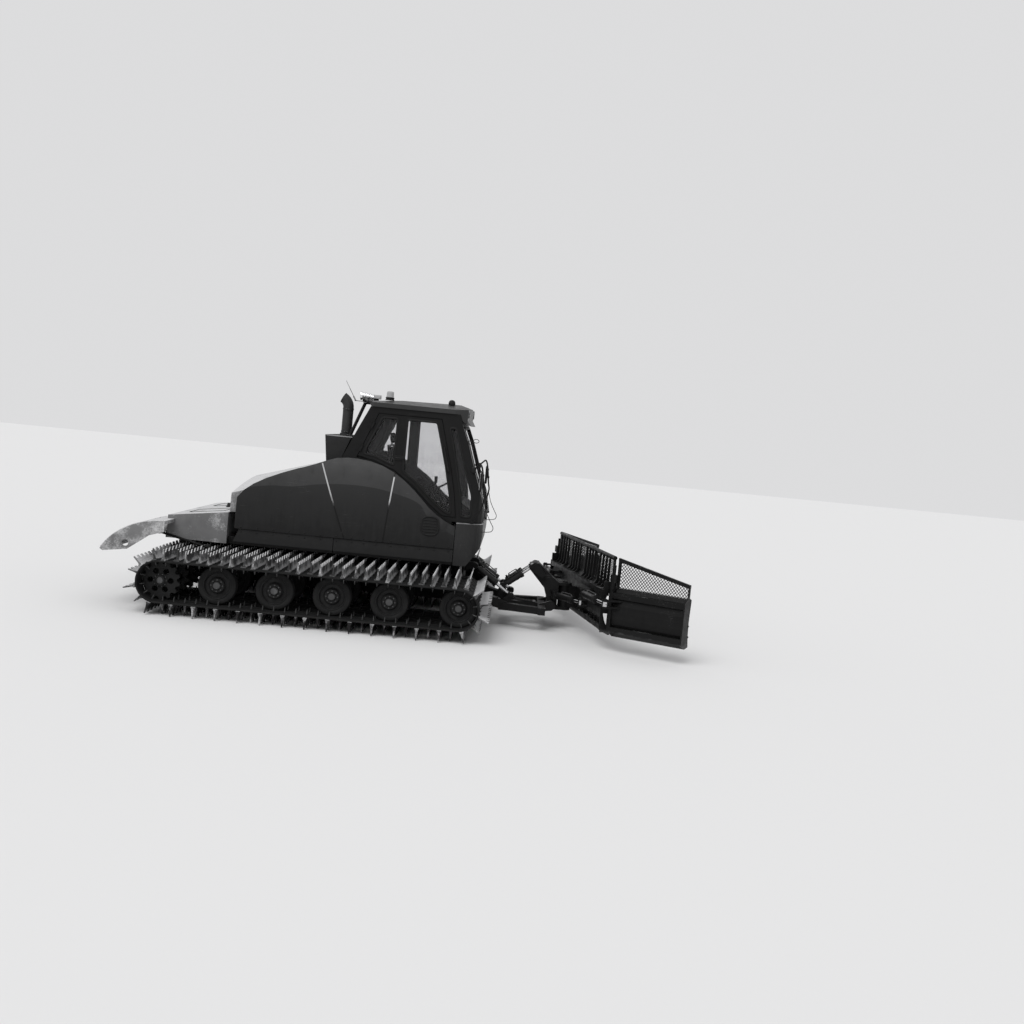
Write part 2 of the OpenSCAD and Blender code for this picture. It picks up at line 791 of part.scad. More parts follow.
module seats() {
    paint(black)
        both_sides()
            translate([at(seat_at[0]), seat_at[1], cab_floor + seat]) {
                box([-150, -150, 0], [150, 150, 300]);
                box([-240, -240, 300], [280, 240, 430]);
                side_prism([[-240, 430], [-120, 430], [-200, 1080], [-300, 1080]], -230, 230);
                side_prism([[-290, 1080], [-205, 1080], [-220, 1250], [-290, 1250]], -130, 130);
            }
}
// The dashboard stands on the floor and on the step over the nose
dashboard = let (x = cab_step[0] - wall - seat, z = cab_step[1] + wall + seat) [
    [3330, cab_floor + seat], [x, cab_floor + seat], [x, z], [3840, z],
    [3865, 1550], [3640, 1690], [3540, 1690], [3400, 1560], [3330, 1400],
];
module console() {
    paint(black) {
        translate([at(0), 0, 0]) {
            // Dashboard under the windscreen
            side_prism(dashboard, 385 - cab_half, cab_half - 385);
            // Centre console with its two levers
            box([2700, -75, cab_floor + seat], [3300, 75, 1620]);
            for (y = [-40, 40]) bar([3180, y, 1605], [3230, y, 1900], 14);
            // Screen on its post
            bar([3520, -420, 1600], [3480, -420, 1860], 16);
            box([3465, -560, 1850], [3495, -280, 2040]);
        }
    }
}

/* Lamps and small pieces */
module drum_lamp(r, d) {
    rotate([0, 90, 0]) {
        cylinder(r = r, h = d, center = true);
        translate([0, 0, d / 2 - 1]) cylinder(r = r - 14, h = 14);
    }
}
// Lamp stand behind the cab: its legs' distance from the middle, and its cross tube in X and Z
stand_y = 620;
stand_leg_r = 24;
stand_tube = [2235, 2935];
stand_tube_r = 22;
lamp_pitch = 440;
module lamps() {
    foot = [2055, intake_top + 15];
    paint(steel) {
        both_sides() {
            bar([at(foot[0]), stand_y, foot[1]], [at(stand_tube[0]), stand_y, stand_tube[1]], stand_leg_r);
            box([at(foot[0] - 45), stand_y - 35, intake_top + seat],
                [at(foot[0] + 40), stand_y + 35, intake_top + 24]);
            bar([at(2225), stand_y, 2905], [at(2325 - seat), stand_y, 2905], 18);
        }
        bar([at(stand_tube[0]), 90 - cab_half_top, stand_tube[1]],
            [at(stand_tube[0]), cab_half_top - 90, stand_tube[1]], stand_tube_r);
        for (i = [0 : lamp_count - 1])
            translate([at(2195), (i - (lamp_count - 1) / 2) * lamp_pitch, 3000]) rotate([0, 0, 180])
                drum_lamp(lamp_r, 60);
        both_sides() {
            // Headlights in the nose
            translate([at(nose_front - 68), headlight_at[0], headlight_at[1]]) rotate([0, 90, 0])
                cylinder(r = headlight_r, h = 60);
            // Lamps at the ends of the roof's front
            translate([at(roof_lamp_at[0] + seat), roof_lamp_at[1], roof_lamp_at[2]]) rotate([0, 90, 0])
                cylinder(r = roof_lamp_r, h = 52);
        }
    }
}
module beacon() {
    paint(steel)
        translate([at(2549), -600, 2973.1]) {
            cylinder(r = 62, h = 40);
            translate([0, 0, 40]) cylinder(r = 52, h = 75);
            translate([0, 0, 115]) cylinder(r = 40, h = 12);
        }
}
module antenna() {
    y = -stand_y - stand_leg_r - seat;
    paint(black) {
        // Rod and its bracket on the lamp stand
        bar([at(2091), y - 11.7, 2930], [at(1944), y - 11.7, 3182], 4);
        box([at(2080), y - 23.7, 2915], [at(stand_tube[0] - stand_tube_r - seat), y, 2937]);
        // Round cover on the roof
        translate([at(3388), -500, 2989.2]) cylinder(r = 48, h = 70);
    }
}
// Mirror arm: its joint on the cab, its upper and lower bends and its foot on the nose
mirror_joint = [3786, cab_half - 63, 2150];
mirror_bends = [[3890, cab_half + 65, 2240], [3960, cab_half + 75, 1830]];
mirror_foot = [3830, cab_half + 5, nose_top + seat];
module mirrors() {
    x0 = [at(0), 0, 0];
    paint(black)
        both_sides() {
            bar(x0 + mirror_joint, x0 + mirror_bends[0] - [0, 0, 5], 14);
            bar(x0 + mirror_bends[0], x0 + mirror_bends[1], 12);
            bar(x0 + mirror_bends[1], x0 + mirror_foot + [0, 0, 15 - seat], 10);
            translate(x0 + mirror_foot) cylinder(r = 22, h = 20);
            translate(x0 + mirror_bends[0] + [15, 50, -220]) box([-18, -80, -140], [18, 90, 140]);
        }
}

/* Blade gear: places as [x, z] from the sprocket's axis and the ground */
lift_eye = [4439, 428];
pitch_base = [4315, 543];
pitch_eye = [4713, 849];
tower_pin = [5010, 330];
tower_pin_r = 30;
swivel = [5200, 0];
swivel_pin_r = 35;
blade_back = 5330;

// A cylinder's two parts lie along +X from the pin, which runs along Y
module barrel(len, r) {
    difference() {
        union() {
            rotate([90, 0, 0]) cylinder(r = eye_r, h = eye_w, center = true);
            rotate([0, 90, 0]) cylinder(r = eye_w / 2 - 3, h = neck + 10);
            translate([neck, 0, 0]) rotate([0, 90, 0]) cylinder(r = r, h = len - neck);
            translate([len - 45, 0, 0]) rotate([0, 90, 0]) cylinder(r = r + 6, h = 45);
            translate([neck + 28, 0, r - 6]) cylinder(r = 14, h = 26);
        }
        rotate([90, 0, 0]) cylinder(r = pin_r + seat, h = eye_w + 2, center = true);
        translate([neck + 20, 0, 0]) rotate([0, 90, 0]) cylinder(r = rod_r + seat, h = len);
    }
}
// The rod's eye is at the far end, so it runs back along -X
module rod(len) {
    difference() {
        union() {
            rotate([90, 0, 0]) cylinder(r = eye_r, h = eye_w, center = true);
            translate([-len, 0, 0]) rotate([0, 90, 0]) cylinder(r = rod_r, h = len - 10);
        }
        rotate([90, 0, 0]) cylinder(r = pin_r + seat, h = eye_w + 2, center = true);
    }
}
function heading(a, b) = atan2(b[1] - a[1], b[0] - a[0]);
// Two level plates of the outline below them, over and under an eye at height z
module flat_ears(z) {
    for (low = [z - eye_w / 2 - eye_gap - ear_t, z + eye_w / 2 + eye_gap])
        translate([0, 0, low]) linear_extrude(ear_t) children();
}

// Lengths of a barrel and its rod from their pins
lift_len = [392, 360];
pitch_len = [328, 306];
angle_len = [430, 340];
wing_cyl_len = [520, 500];
module lift_barrels() {
    paint(black)
        both_sides()
            translate([at(lift_base[0]), lift_y, lift_base[1]]) rotate([0, -heading(lift_base, lift_eye), 0])
                barrel(lift_len[0], barrel_r);
}
module lift_rods() {
    paint(steel)
        both_sides()
            translate([at(lift_eye[0]), lift_y, lift_eye[1]]) rotate([0, -heading(lift_base, lift_eye), 0])
                rod(lift_len[1]);
}
module pitch_barrels() {
    paint(black)
        both_sides()
            translate([at(pitch_base[0]), pitch_y, pitch_base[1]]) rotate([0, -heading(pitch_base, pitch_eye), 0])
                barrel(pitch_len[0], barrel_r);
}
module pitch_rods() {
    paint(steel)
        both_sides()
            translate([at(pitch_eye[0]), pitch_y, pitch_eye[1]]) rotate([0, -heading(pitch_base, pitch_eye), 0])
                rod(pitch_len[1]);
}
arm_w = 90;
// Outlines of the push frame: its arm, its ear round the tower's pin, and its flared front seen from above
arm_side = [[3590, 435], [3640, 400], [4380, 235], [4380, 350], [4200, 400], [3680, 535], [3600, 520]];
tower_ear = [
    [4840, 235], [5030, 262], [5072, 300], [5078, 330], [5045, 390], [4975, 390], [4840, 340],
];
beam_x = [4830, 4932];
arm_flare = [
    [4280, arm_y - arm_w / 2], [4380, arm_y - arm_w / 2],
    [beam_x[1], 500], [beam_x[1], 600], [4280, arm_y + arm_w / 2],
];
module push_frame() {
    ear_gap = eye_w + 2 * eye_gap;
    paint(black) {
        difference() {
            union() {
                // Arms from the chassis, then flared to the front beam
                both_sides() {
                    side_prism(shifted(arm_side), arm_y - arm_w / 2, arm_y + arm_w / 2);
                    tube_y(at(frame_pin[0]), frame_pin[1], arm_y - arm_w / 2, arm_y + arm_w / 2, 75);
                    translate([0, 0, 240]) linear_extrude(95) polygon(shifted(arm_flare));
                    ears(shifted(ear(lift_eye, -60, 160, [[4330, 370], [4330, 270], [4440, 270]])),
                        lift_y, ear_gap, ear_t);
                    ears(shifted(ear(pitch_base, -20, 200, [[4245, 330], [4390, 330]])),
                        pitch_y, ear_gap, ear_t);
                    side_prism(shifted(tower_ear), 222, 262);
                    // Caps of the rods' pins, outside the ears
                    for (s = [-1, 1])
                        let (y = lift_y + s * (ear_gap / 2 + ear_t + 6))
                            tube_y(at(lift_eye[0]), lift_eye[1], y - 7, y + 7, pin_r + 8);
                }
                box([at(4280), -arm_y - arm_w / 2, 235], [at(4400), arm_y + arm_w / 2, 345]);
                box([at(beam_x[0]), -600, 235], [at(beam_x[1]), 600, 335]);
                box([at(4380), -60, 245], [at(beam_x[0] + 20), 60, 325]);
            }
            both_sides() tube_y(at(frame_pin[0]), frame_pin[1], arm_y - 60, arm_y + 60, frame_pin_r + seat);
        }
        both_sides()
            tube_y(at(pitch_base[0]), pitch_base[1],
                pitch_y - ear_gap / 2 - ear_t - 6, pitch_y + ear_gap / 2 + ear_t + 6, pin_r);
        tube_y(at(tower_pin[0]), tower_pin[1], -270, 270, tower_pin_r);
    }
}
tower_half = pitch_y - eye_w / 2 - eye_gap;
angle_z = 480;
angle_base = [-140, 195];
// Outlines of the tower: its post, and the plate and box that carry the pitch rods
tower_side = [
    [4965, 280], [5075, 275], [5100, 300], [5100, 660], [5010, 720], [4800, 900], [4740, 905], [4672, 870],
    [4668, 810], [4770, 700], [4900, 560], [4952, 400],
];
pitch_plate = [[4672, 870], [4668, 810], [4700, 795], [4860, 700], [4900, 740], [4800, 900], [4740, 905]];
pitch_box = [[4790, 790], [4860, 700], [4900, 740], [4800, 900], [4770, 900]];
// Heights of the lugs that hold the swivel pin
swivel_lugs = [[262, 305], [610, 650]];
swivel_lug_r = 95;
module tower() {
    hub = at(swivel[0]);
    plate_y = pitch_y + eye_w / 2 + eye_gap;
    paint(black) {
        difference() {
            union() {
                side_prism(shifted(tower_side), -tower_half, tower_half);
                tube_y(at(tower_pin[0]), tower_pin[1], -220, 220, 62);
                // Upper ears of the pitch cylinders, carried by a box behind the rods' eyes
                both_sides() {
                    side_prism(shifted(pitch_plate), plate_y, plate_y + ear_t);
                    side_prism(shifted(pitch_box), tower_half - 1, plate_y + 1);
                    tube_y(at(pitch_eye[0]), pitch_eye[1], plate_y + ear_t - 1, plate_y + ear_t + 12, pin_r + 10);
                    flat_ears(angle_z)
                        polygon(concat([[at(4990), tower_half - 1], [at(5100), tower_half - 1]],
                            ear([hub, 0] + angle_base, -20, 200, [])));
                }
                // Lugs above and below the blade's hub
                for (z = swivel_lugs) {
                    box([at(5060), -swivel_lug_r, z[0]], [hub, swivel_lug_r, z[1]]);
                    translate([hub, 0, z[0]]) cylinder(r = swivel_lug_r, h = z[1] - z[0]);
                }
            }
            tube_y(at(tower_pin[0]), tower_pin[1], -230, 230, tower_pin_r + seat);
        }
        translate([hub, 0, 255]) cylinder(r = swivel_pin_r, h = 410);
        both_sides() translate([hub + angle_base[0], angle_base[1], angle_z - 65]) cylinder(r = pin_r, h = 130);
    }
}

/* Blade: local frame with the blade square to the machine */
mould_low = blade_z + 50;
mould_top = blade_z + blade_h;
mould_mid = (mould_low + mould_top) / 2;
mould_reach = asin((mould_top - mould_low) / 2 / mould_r);
mould_c = [blade_back + mould_t + mould_r, mould_mid];
mould_edge = mould_c[0] - mould_r * cos(mould_reach);
wing_axis = [blade_back + 110, blade_w / 2];
wing_gap = 48;
angle_eye = [60, 720];
wing_base = [-225, -650];
wing_eye = [-250, 22];
wing_z = 640;
rib_at = [180, 330, 480, 630, 900, 1060, 1220, 1380];
// The hollow face's arc of radius r, from its lower to its upper edge
function arc_points(r) =
    [for (i = [0 : 8]) let (a = -mould_reach + 2 * mould_reach * i / 8) mould_c + r * [-cos(a), sin(a)]];
mould_back = backwards(arc_points(mould_r + mould_t));
mould_section = concat(arc_points(mould_r), mould_back);
edge_section = [
    [mould_edge - 22, blade_z], [mould_edge + 6, blade_z],
    [mould_edge + 6, mould_low + 6], [mould_edge - 22, mould_low + 10],
];
end_section = concat(mould_back, [
    [mould_edge - 22, blade_z], [blade_back - 12, blade_z + 60],
    [blade_back - 12, mould_top - 30], [mould_edge - 60, mould_top],
]);
tip_section = [
    [blade_back - 12, blade_z + 60], [mould_edge - 22, blade_z], [mould_edge + 95, blade_z + 15],
    [mould_edge + 60, blade_z + 160], [mould_edge + 45, mould_mid], [mould_edge + 70, mould_top],
    [mould_edge - 30, mould_top + 40], [blade_back - 12, mould_top - 30],
];
// Stiffening beams along the back: lower and upper
beam_z = [[blade_z + 65, blade_z + 135], [mould_top - 110, mould_top - 38]];
beam_depth = 88;
beam_sections = [for (z = beam_z)
    let (x = [blade_back - 8, blade_back - 8 + beam_depth])
    [[x[0], z[0]], [x[1], z[0]], [x[1], z[1]], [x[0], z[1]]]];
// Cross sections that run along the whole blade and along each wing
long_sections = concat([mould_section, edge_section], beam_sections);
end_t = 14;
tip_t = 20;
// How deep ears and levers reach into the hollow plate's back
ear_root = 26;
rib_t = 14;
ring_r = 42;
wing_pin_r = 22;
// Heights of the hinge rings on the blade and of those on a wing
blade_rings = [[230, 330], [480, 570], [800, 900]];
wing_rings = [[332, 478], [572, 798], [902, 1000]];
grille_t = 8;
grille_x = mould_edge - 16;
grille_gap = -3;
module blade_frame() {
    translate([at(swivel[0]), 0, 0]) rotate([0, 0, blade_angle]) translate([-at(swivel[0]), 0, 0]) children();
}
// The left wing's own frame: its hinge at the origin, the wing along +Y when straight
module wing_frame() {
    translate([at(wing_axis[0]), wing_axis[1], 0]) rotate([0, 0, -wing_fold]) translate([-wing_axis[0], 0, 0]) children();
}
module wing_frame_right() {
    translate([at(wing_axis[0]), -wing_axis[1], 0]) rotate([0, 0, wing_fold]) translate([-wing_axis[0], 0, 0])
        mirror([0, 1, 0]) children();
}
// Diamond grille in the Y and Z plane at x, cut to an outline of [y, z]
strip_w = 9;
module diamonds(p, x, y0, y1, z0, z1) {
    reach = (z1 - z0) / 2 + strip_w;
    translate([x, 0, 0]) rotate([90, 0, 90]) linear_extrude(grille_t)
        intersection() {
            polygon(p);
            union() {
                for (s = [-1, 1], k = [floor((y0 - reach) / mesh_pitch) : ceil((y1 + reach) / mesh_pitch)])
                    translate([(k + 0.5) * mesh_pitch, (z0 + z1) / 2]) rotate(s * 45)
                        square([strip_w, 3 * reach], center = true);
                // Border
                difference() {
                    polygon(p);
                    polygon(inset(p, strip_w + 3));
                }
            }
        }
}
grille_low = mould_top + mould_t * sin(mould_reach) + seat;
grille_top = mould_top + grille_h;
rail_r = 26;
// Depth and width of the posts at the ends of a grille
post_d = 30;
post_w = 30;
// Two caps of an eye's pin, over and under its ears, at [x, y]
module pin_caps(place, z) {
    for (low = [z - eye_w / 2 - ear_t - 11, z + eye_w / 2 + ear_t - 1])
        translate([place[0], place[1], low]) cylinder(r = pin_r + 8, h = 12);
}
// A ring of the wing hinge from height z[0] to z[1], with its webs to an end plate on the +Y side
module hinge_ring(z) {
    translate([0, 0, z[0]]) cylinder(r = ring_r, h = z[1] - z[0]);
    box([-20, 20, z[0]], [20, 60, z[1]]);
    box([-108, wing_gap - 4, z[0]], [20, wing_gap + end_t - 2, z[1]]);
}
module blade_ribs(y) {
    low = [
        [blade_back - 8, beam_z[0][1] - 15], [blade_back + 20, beam_z[0][1] - 15],
        [blade_back + 20, beam_z[0][1] + 65], [blade_back + 2, beam_z[0][1] + 65],
    ];
    high = [
        [blade_back - 8, mould_top - 90], [grille_x - 8, mould_top - 90], [grille_x - 8, grille_top],
        [grille_x - 34, grille_top], [grille_x - 50, mould_top + 10],
    ];
    for (p = [low, high]) side_prism(shifted(p), y, y + rib_t);
}
module blade() {
    half = blade_w / 2 - wing_gap;
    hub = [at(swivel[0]), 0];
    eye = hub + angle_eye;
    hinge = [at(wing_axis[0]), wing_axis[1]];
    base = hinge + wing_base;
    root = at(blade_back + ear_root);
    paint(black)
        blade_frame() {
            difference() {
                union() {
                    for (p = long_sections) side_prism(shifted(p), end_t / 2 - half, half - end_t / 2);
                    tube_y(at(grille_x), grille_top, -half, half, rail_r);
                    // Hub on the swivel pin
                    translate([hub[0], 0, swivel_lugs[0][1] + 1]) cylinder(r = 88, h = 303);
                    box([hub[0], -80, swivel_lugs[0][1] + 1], [at(blade_back + 30), 80, swivel_lugs[1][0] - 1]);
                    both_sides() {
                        side_prism(shifted(end_section), half - end_t, half);
                        box([at(grille_x - post_d / 2), half - post_w, mould_top - 80],
                            [at(grille_x + post_d / 2), half, grille_top]);
                        for (y = rib_at) blade_ribs(y);
                        // Ears of the angle rods and of the wing barrels
                        flat_ears(angle_z)
                            polygon([eye - [38, 18], eye - [0, 42], [root - 4, eye[1] - 60], [root - 4, eye[1] + 60],
                                eye + [0, 42], eye + [-38, 18]]);
                        pin_caps(eye, angle_z);
                        flat_ears(wing_z)
                            polygon(ear(base, 90, 270, [[root, base[1] - 60], [root, base[1] + 56]]));
                        translate([base[0], base[1], wing_z - 62]) cylinder(r = pin_r, h = 124);
                        for (z = blade_rings)
                            translate([hinge[0], hinge[1], 0]) mirror([0, 1, 0]) hinge_ring(z);
                    }
                }
                translate([hub[0], 0, 300]) cylinder(r = swivel_pin_r + seat, h = 320);
            }
            both_sides() translate([hinge[0], hinge[1], 222]) cylinder(r = wing_pin_r, h = 900);
        }
}
wing_tip_top = 1000;
module wing() {
    eye = [wing_axis[0], 0] + wing_eye;
    root = blade_back + ear_root;
    difference() {
        union() {
            for (p = long_sections) side_prism(p, wing_gap + end_t / 2, wing_len - tip_t / 2);
            side_prism(end_section, wing_gap, wing_gap + end_t);
            // End plate, reaching past the hollow face
            side_prism(tip_section, wing_len - tip_t, wing_len);
            // Frame of the grille
            box([grille_x - post_d / 2, wing_gap, mould_top - 80],
                [grille_x + post_d / 2, wing_gap + post_w, grille_top]);
            box([grille_x - post_d / 2, wing_len - tip_t, mould_top - 80],
                [grille_x + post_d / 2, wing_len, wing_tip_top + 10]);
            translate([grille_x - 20, 0, 0]) rotate([90, 0, 90]) linear_extrude(40)
                polygon([[wing_gap, grille_top - rail_r], [wing_len, wing_tip_top - rail_r],
                    [wing_len, wing_tip_top + 14], [wing_gap, grille_top + 14]]);
            for (z = wing_rings) translate([wing_axis[0], 0, 0]) hinge_ring(z);
            // Lever of the wing cylinder
            flat_ears(wing_z)
                polygon([eye - [36, 18], eye - [0, 40], [eye[0] + 60, wing_gap + 4], [root, wing_gap + 4],
                    [root, wing_gap + 150], eye + [0, 44], eye + [-36, 18]]);
            pin_caps(eye, wing_z);
        }
        translate([wing_axis[0], 0, 200]) cylinder(r = wing_pin_r + seat, h = 950);
    }
}
module blade_grille() {
    e = blade_w / 2 - wing_gap - post_w - seat;
    top = grille_top - rail_r;
    paint(black)
        blade_frame()
            diamonds([[-e, grille_low], [e, grille_low], [e, top], [-e, top]],
                at(grille_x + grille_gap), -e, e, grille_low, grille_top);
}
wing_slope = (grille_top - 4 - wing_tip_top) / (wing_len - tip_t - wing_gap);
module wing_grille() {
    y0 = wing_gap + post_w + seat;
    y1 = wing_len - tip_t - seat;
    top = grille_top - rail_r - 4 - (y0 - wing_gap) * wing_slope;
    diamonds([[y0, grille_low], [y1, grille_low], [y1, wing_tip_top - rail_r], [y0, top]],
        grille_x, y0, y1, grille_low, grille_top);
}
module wing_grille_left() {
    paint(black) blade_frame() wing_frame() wing_grille();
}
module wing_grille_right() {
    paint(black) blade_frame() wing_frame_right() wing_grille();
}
module wing_left() {
    paint(black) blade_frame() wing_frame() wing();
}
module wing_right() {
    paint(black) blade_frame() wing_frame_right() wing();
}

// A pin's place in the machine's own plan, from the blade's frame, s is 1 on the left
function on_blade(p, s) = turned([p[0], s * p[1]], blade_angle);
function angle_pins(s) = [[angle_base[0], s * angle_base[1]], on_blade(angle_eye, s)];
// Wing pins in the left wing's plan, X and Y from the wing's hinge
wing_pins = [wing_base, turned(wing_eye, -wing_fold)];
// A cylinder's part that lies level at height z, at pin i and pointing from the first pin to the second
module level_part(pins, i, z) {
    translate([pins[i][0], pins[i][1], z]) rotate([90, 0, heading(pins[0], pins[1])]) children();
}
module angle_barrel(s) {
    paint(black)
        translate([at(swivel[0]), 0, 0])
            level_part(angle_pins(s), 0, angle_z) barrel(angle_len[0], barrel_r);
}
module angle_rod(s) {
    paint(steel) translate([at(swivel[0]), 0, 0]) level_part(angle_pins(s), 1, angle_z) rod(angle_len[1]);
}
module angle_barrel_left() {
    angle_barrel(1);
}
module angle_rod_left() {
    angle_rod(1);
}
module angle_barrel_right() {
    angle_barrel(-1);
}
module angle_rod_right() {
    angle_rod(-1);
}
module wing_barrel() {
    translate([at(wing_axis[0]), wing_axis[1], 0])
        level_part(wing_pins, 0, wing_z) barrel(wing_cyl_len[0], barrel_r);
}
module wing_rod() {
    translate([at(wing_axis[0]), wing_axis[1], 0]) level_part(wing_pins, 1, wing_z) rod(wing_cyl_len[1]);
}
module wing_barrel_left() {
    paint(black) blade_frame() wing_barrel();
}
module wing_rod_left() {
    paint(steel) blade_frame() wing_rod();
}
module wing_barrel_right() {
    paint(black) blade_frame() mirror([0, 1, 0]) wing_barrel();
}
module wing_rod_right() {
    paint(steel) blade_frame() mirror([0, 1, 0]) wing_rod();
}

chassis();
engine();
track_left();
track_right();
road_wheels();
sprockets();
axles();
side_sills();
side_panels();
nose_panel();
hood();
rear_deck();
rear_fenders();
air_intake();
exhaust();
cab_shell();
cab_roof();
cab_glass();
door_left();
door_right();
door_glass_left();
door_glass_right();
seats();
console();
lamps();
beacon();
mirrors();
antenna();
push_frame();
lift_barrels();
lift_rods();
tower();
pitch_barrels();
pitch_rods();
blade();
angle_barrel_left();
angle_rod_left();
angle_barrel_right();
angle_rod_right();
wing_left();
wing_right();
blade_grille();
wing_grille_left();
wing_grille_right();
wing_barrel_left();
wing_rod_left();
wing_barrel_right();
wing_rod_right();
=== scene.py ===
"""Snowcat groomer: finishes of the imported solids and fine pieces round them. Metres, +X forwards, +Z up."""

import json
import math

import bpy
import numpy as np
from mathutils import Matrix, Vector


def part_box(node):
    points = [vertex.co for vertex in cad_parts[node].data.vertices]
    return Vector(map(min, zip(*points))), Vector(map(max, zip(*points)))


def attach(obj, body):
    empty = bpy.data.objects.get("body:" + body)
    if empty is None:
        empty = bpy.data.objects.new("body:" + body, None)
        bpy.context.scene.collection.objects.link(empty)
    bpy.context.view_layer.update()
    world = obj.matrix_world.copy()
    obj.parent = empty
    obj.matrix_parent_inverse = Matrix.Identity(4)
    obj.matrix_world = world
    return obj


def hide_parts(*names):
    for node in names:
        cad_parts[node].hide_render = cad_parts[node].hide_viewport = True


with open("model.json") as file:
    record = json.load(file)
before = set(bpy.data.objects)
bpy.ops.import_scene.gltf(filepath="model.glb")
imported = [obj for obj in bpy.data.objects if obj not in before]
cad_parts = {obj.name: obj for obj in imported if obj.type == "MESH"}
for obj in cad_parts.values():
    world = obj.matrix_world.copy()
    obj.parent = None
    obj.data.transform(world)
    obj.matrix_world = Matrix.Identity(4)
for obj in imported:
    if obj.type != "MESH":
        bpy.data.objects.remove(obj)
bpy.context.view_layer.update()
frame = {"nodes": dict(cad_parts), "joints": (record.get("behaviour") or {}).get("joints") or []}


def low(node):
    """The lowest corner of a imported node."""
    return np.array(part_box(node)[0])


def high(node):
    """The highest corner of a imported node."""
    return np.array(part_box(node)[1])


# Everything is placed from the rear sprockets' axis and the machine's middle plane
AXIS = (low("sprockets") + high("sprockets")) / 2
HUB_Z = AXIS[2]
ORIGIN = np.array([AXIS[0], AXIS[1], 0.0])
PIVOTS = {j["name"]: np.array(j["pos_m"]) for j in frame["joints"] if j["type"] == "hinge"}
FRONT_WHEEL = high("road_wheels")[0] - (high("sprockets")[0] - AXIS[0]) - AXIS[0]


# Shapes: a shape is (points, faces), where faces is a list of index arrays with 3 or 4 columns

def grid_faces(rows, columns, wrap_rows=False, wrap_columns=False):
    """Quads between neighbours in a grid of rows and columns, the last joined to the first where it wraps."""
    r = np.arange(rows if wrap_rows else rows - 1)
    c = np.arange(columns if wrap_columns else columns - 1)
    a, b = np.meshgrid(r, c, indexing="ij")
    a, b = a.ravel(), b.ravel()
    a2, b2 = (a + 1) % rows, (b + 1) % columns
    return np.stack([a * columns + b, a * columns + b2, a2 * columns + b2, a2 * columns + b], axis=1)


def merged(shapes):
    """All the shapes in one, with each one's indices moved past the points before it."""
    points, faces, start = [], [], 0
    for p, fs in shapes:
        points.append(p)
        faces += [f + start for f in fs]
        start += len(p)
    return np.concatenate(points), faces


def moved(shape, offset):
    """The shape with an offset added to its points."""
    return shape[0] + np.asarray(offset, float), shape[1]


def flipped(shape):
    """The shape with its faces turned to their other side."""
    return shape[0], [f[:, ::-1] for f in shape[1]]


def mirrored(shape):
    """The shape on the other side of the middle plane y = 0, with its faces turned back outwards."""
    return flipped((shape[0] * [1, -1, 1], shape[1]))


def both_sides(shape):
    """The shape and its mirror image as one."""
    return merged([shape, mirrored(shape)])


def repeated(shape, origins, frames):
    """A copy for each origin: point = origin + x * first axis + y * second + z * third axis of its frame."""
    origins, frames = np.asarray(origins, float), np.asarray(frames, float)
    if frames.ndim == 2:
        frames = np.broadcast_to(frames, (len(origins), 3, 3))
    points = np.einsum("pk,nkc->npc", shape[0], frames) + origins[:, None, :]
    count, size = points.shape[:2]
    steps = np.arange(count) * size
    faces = [(f[None] + steps[:, None, None]).reshape(-1, f.shape[1]) for f in shape[1]]
    return points.reshape(-1, 3), faces


def frames_along(path, up):
    """Tangent, side and up of each point of a path: side = up x tangent, then up is squared to both."""
    tangent = np.gradient(path, axis=0)
    tangent /= np.linalg.norm(tangent, axis=1, keepdims=True)
    side = np.cross(np.broadcast_to(up, tangent.shape), tangent)
    side /= np.linalg.norm(side, axis=1, keepdims=True)
    return tangent, side, np.cross(tangent, side)


def sweep(path, profile, up=(0, 0, 1), closed=False):
    """A closed profile of (side, up) offsets carried along a path, each end a fan to its middle."""
    path, profile = np.asarray(path, float), np.asarray(profile, float)
    if closed:
        around = np.concatenate([path[-1:], path, path[:1]])
        tangent, side, upward = (v[1:-1] for v in frames_along(around, up))
    else:
        tangent, side, upward = frames_along(path, up)
    rings = path[:, None] + profile[None, :, :1] * side[:, None] + profile[None, :, 1:] * upward[:, None]
    rows, columns = rings.shape[:2]
    points = rings.reshape(-1, 3)
    faces = [grid_faces(rows, columns, closed, True)]
    if not closed:
        ring = np.arange(columns)
        after = (ring + 1) % columns
        start, end = len(points), len(points) + 1
        last = (rows - 1) * columns
        faces.append(np.stack([after, ring, np.full(columns, start)], axis=1))
        faces.append(np.stack([last + ring, last + after, np.full(columns, end)], axis=1))
        points = np.concatenate([points, rings[0].mean(0)[None], rings[-1].mean(0)[None]])
    return points, faces


def circle(radius, sides=12):
    """An even outline: cosine and sine of each angle times the radius."""
    a = np.arange(sides) / sides * 2 * math.pi
    return np.stack([np.cos(a), np.sin(a)], axis=1) * radius


def pipe(path, radius, sides=10, closed=False, up=(0, 0, 1)):
    """A circle carried along a path."""
    return sweep(path, circle(radius, sides), up, closed)


def smooth_path(knots, count=24):
    """Points on a Catmull-Rom curve through the knots, evenly spread between them."""
    k = np.asarray(knots, float)
    k = np.concatenate([2 * k[:1] - k[1:2], k, 2 * k[-1:] - k[-2:-1]])
    u = np.linspace(0, len(k) - 3 - 1e-9, count)
    i = u.astype(int)
    t = (u - i)[:, None]
    a, b, c, d = k[i], k[i + 1], k[i + 2], k[i + 3]
    square, cube = 2 * a - 5 * b + 4 * c - d, 3 * b - a - 3 * c + d
    return 0.5 * (2 * b + (c - a) * t + square * t ** 2 + cube * t ** 3)


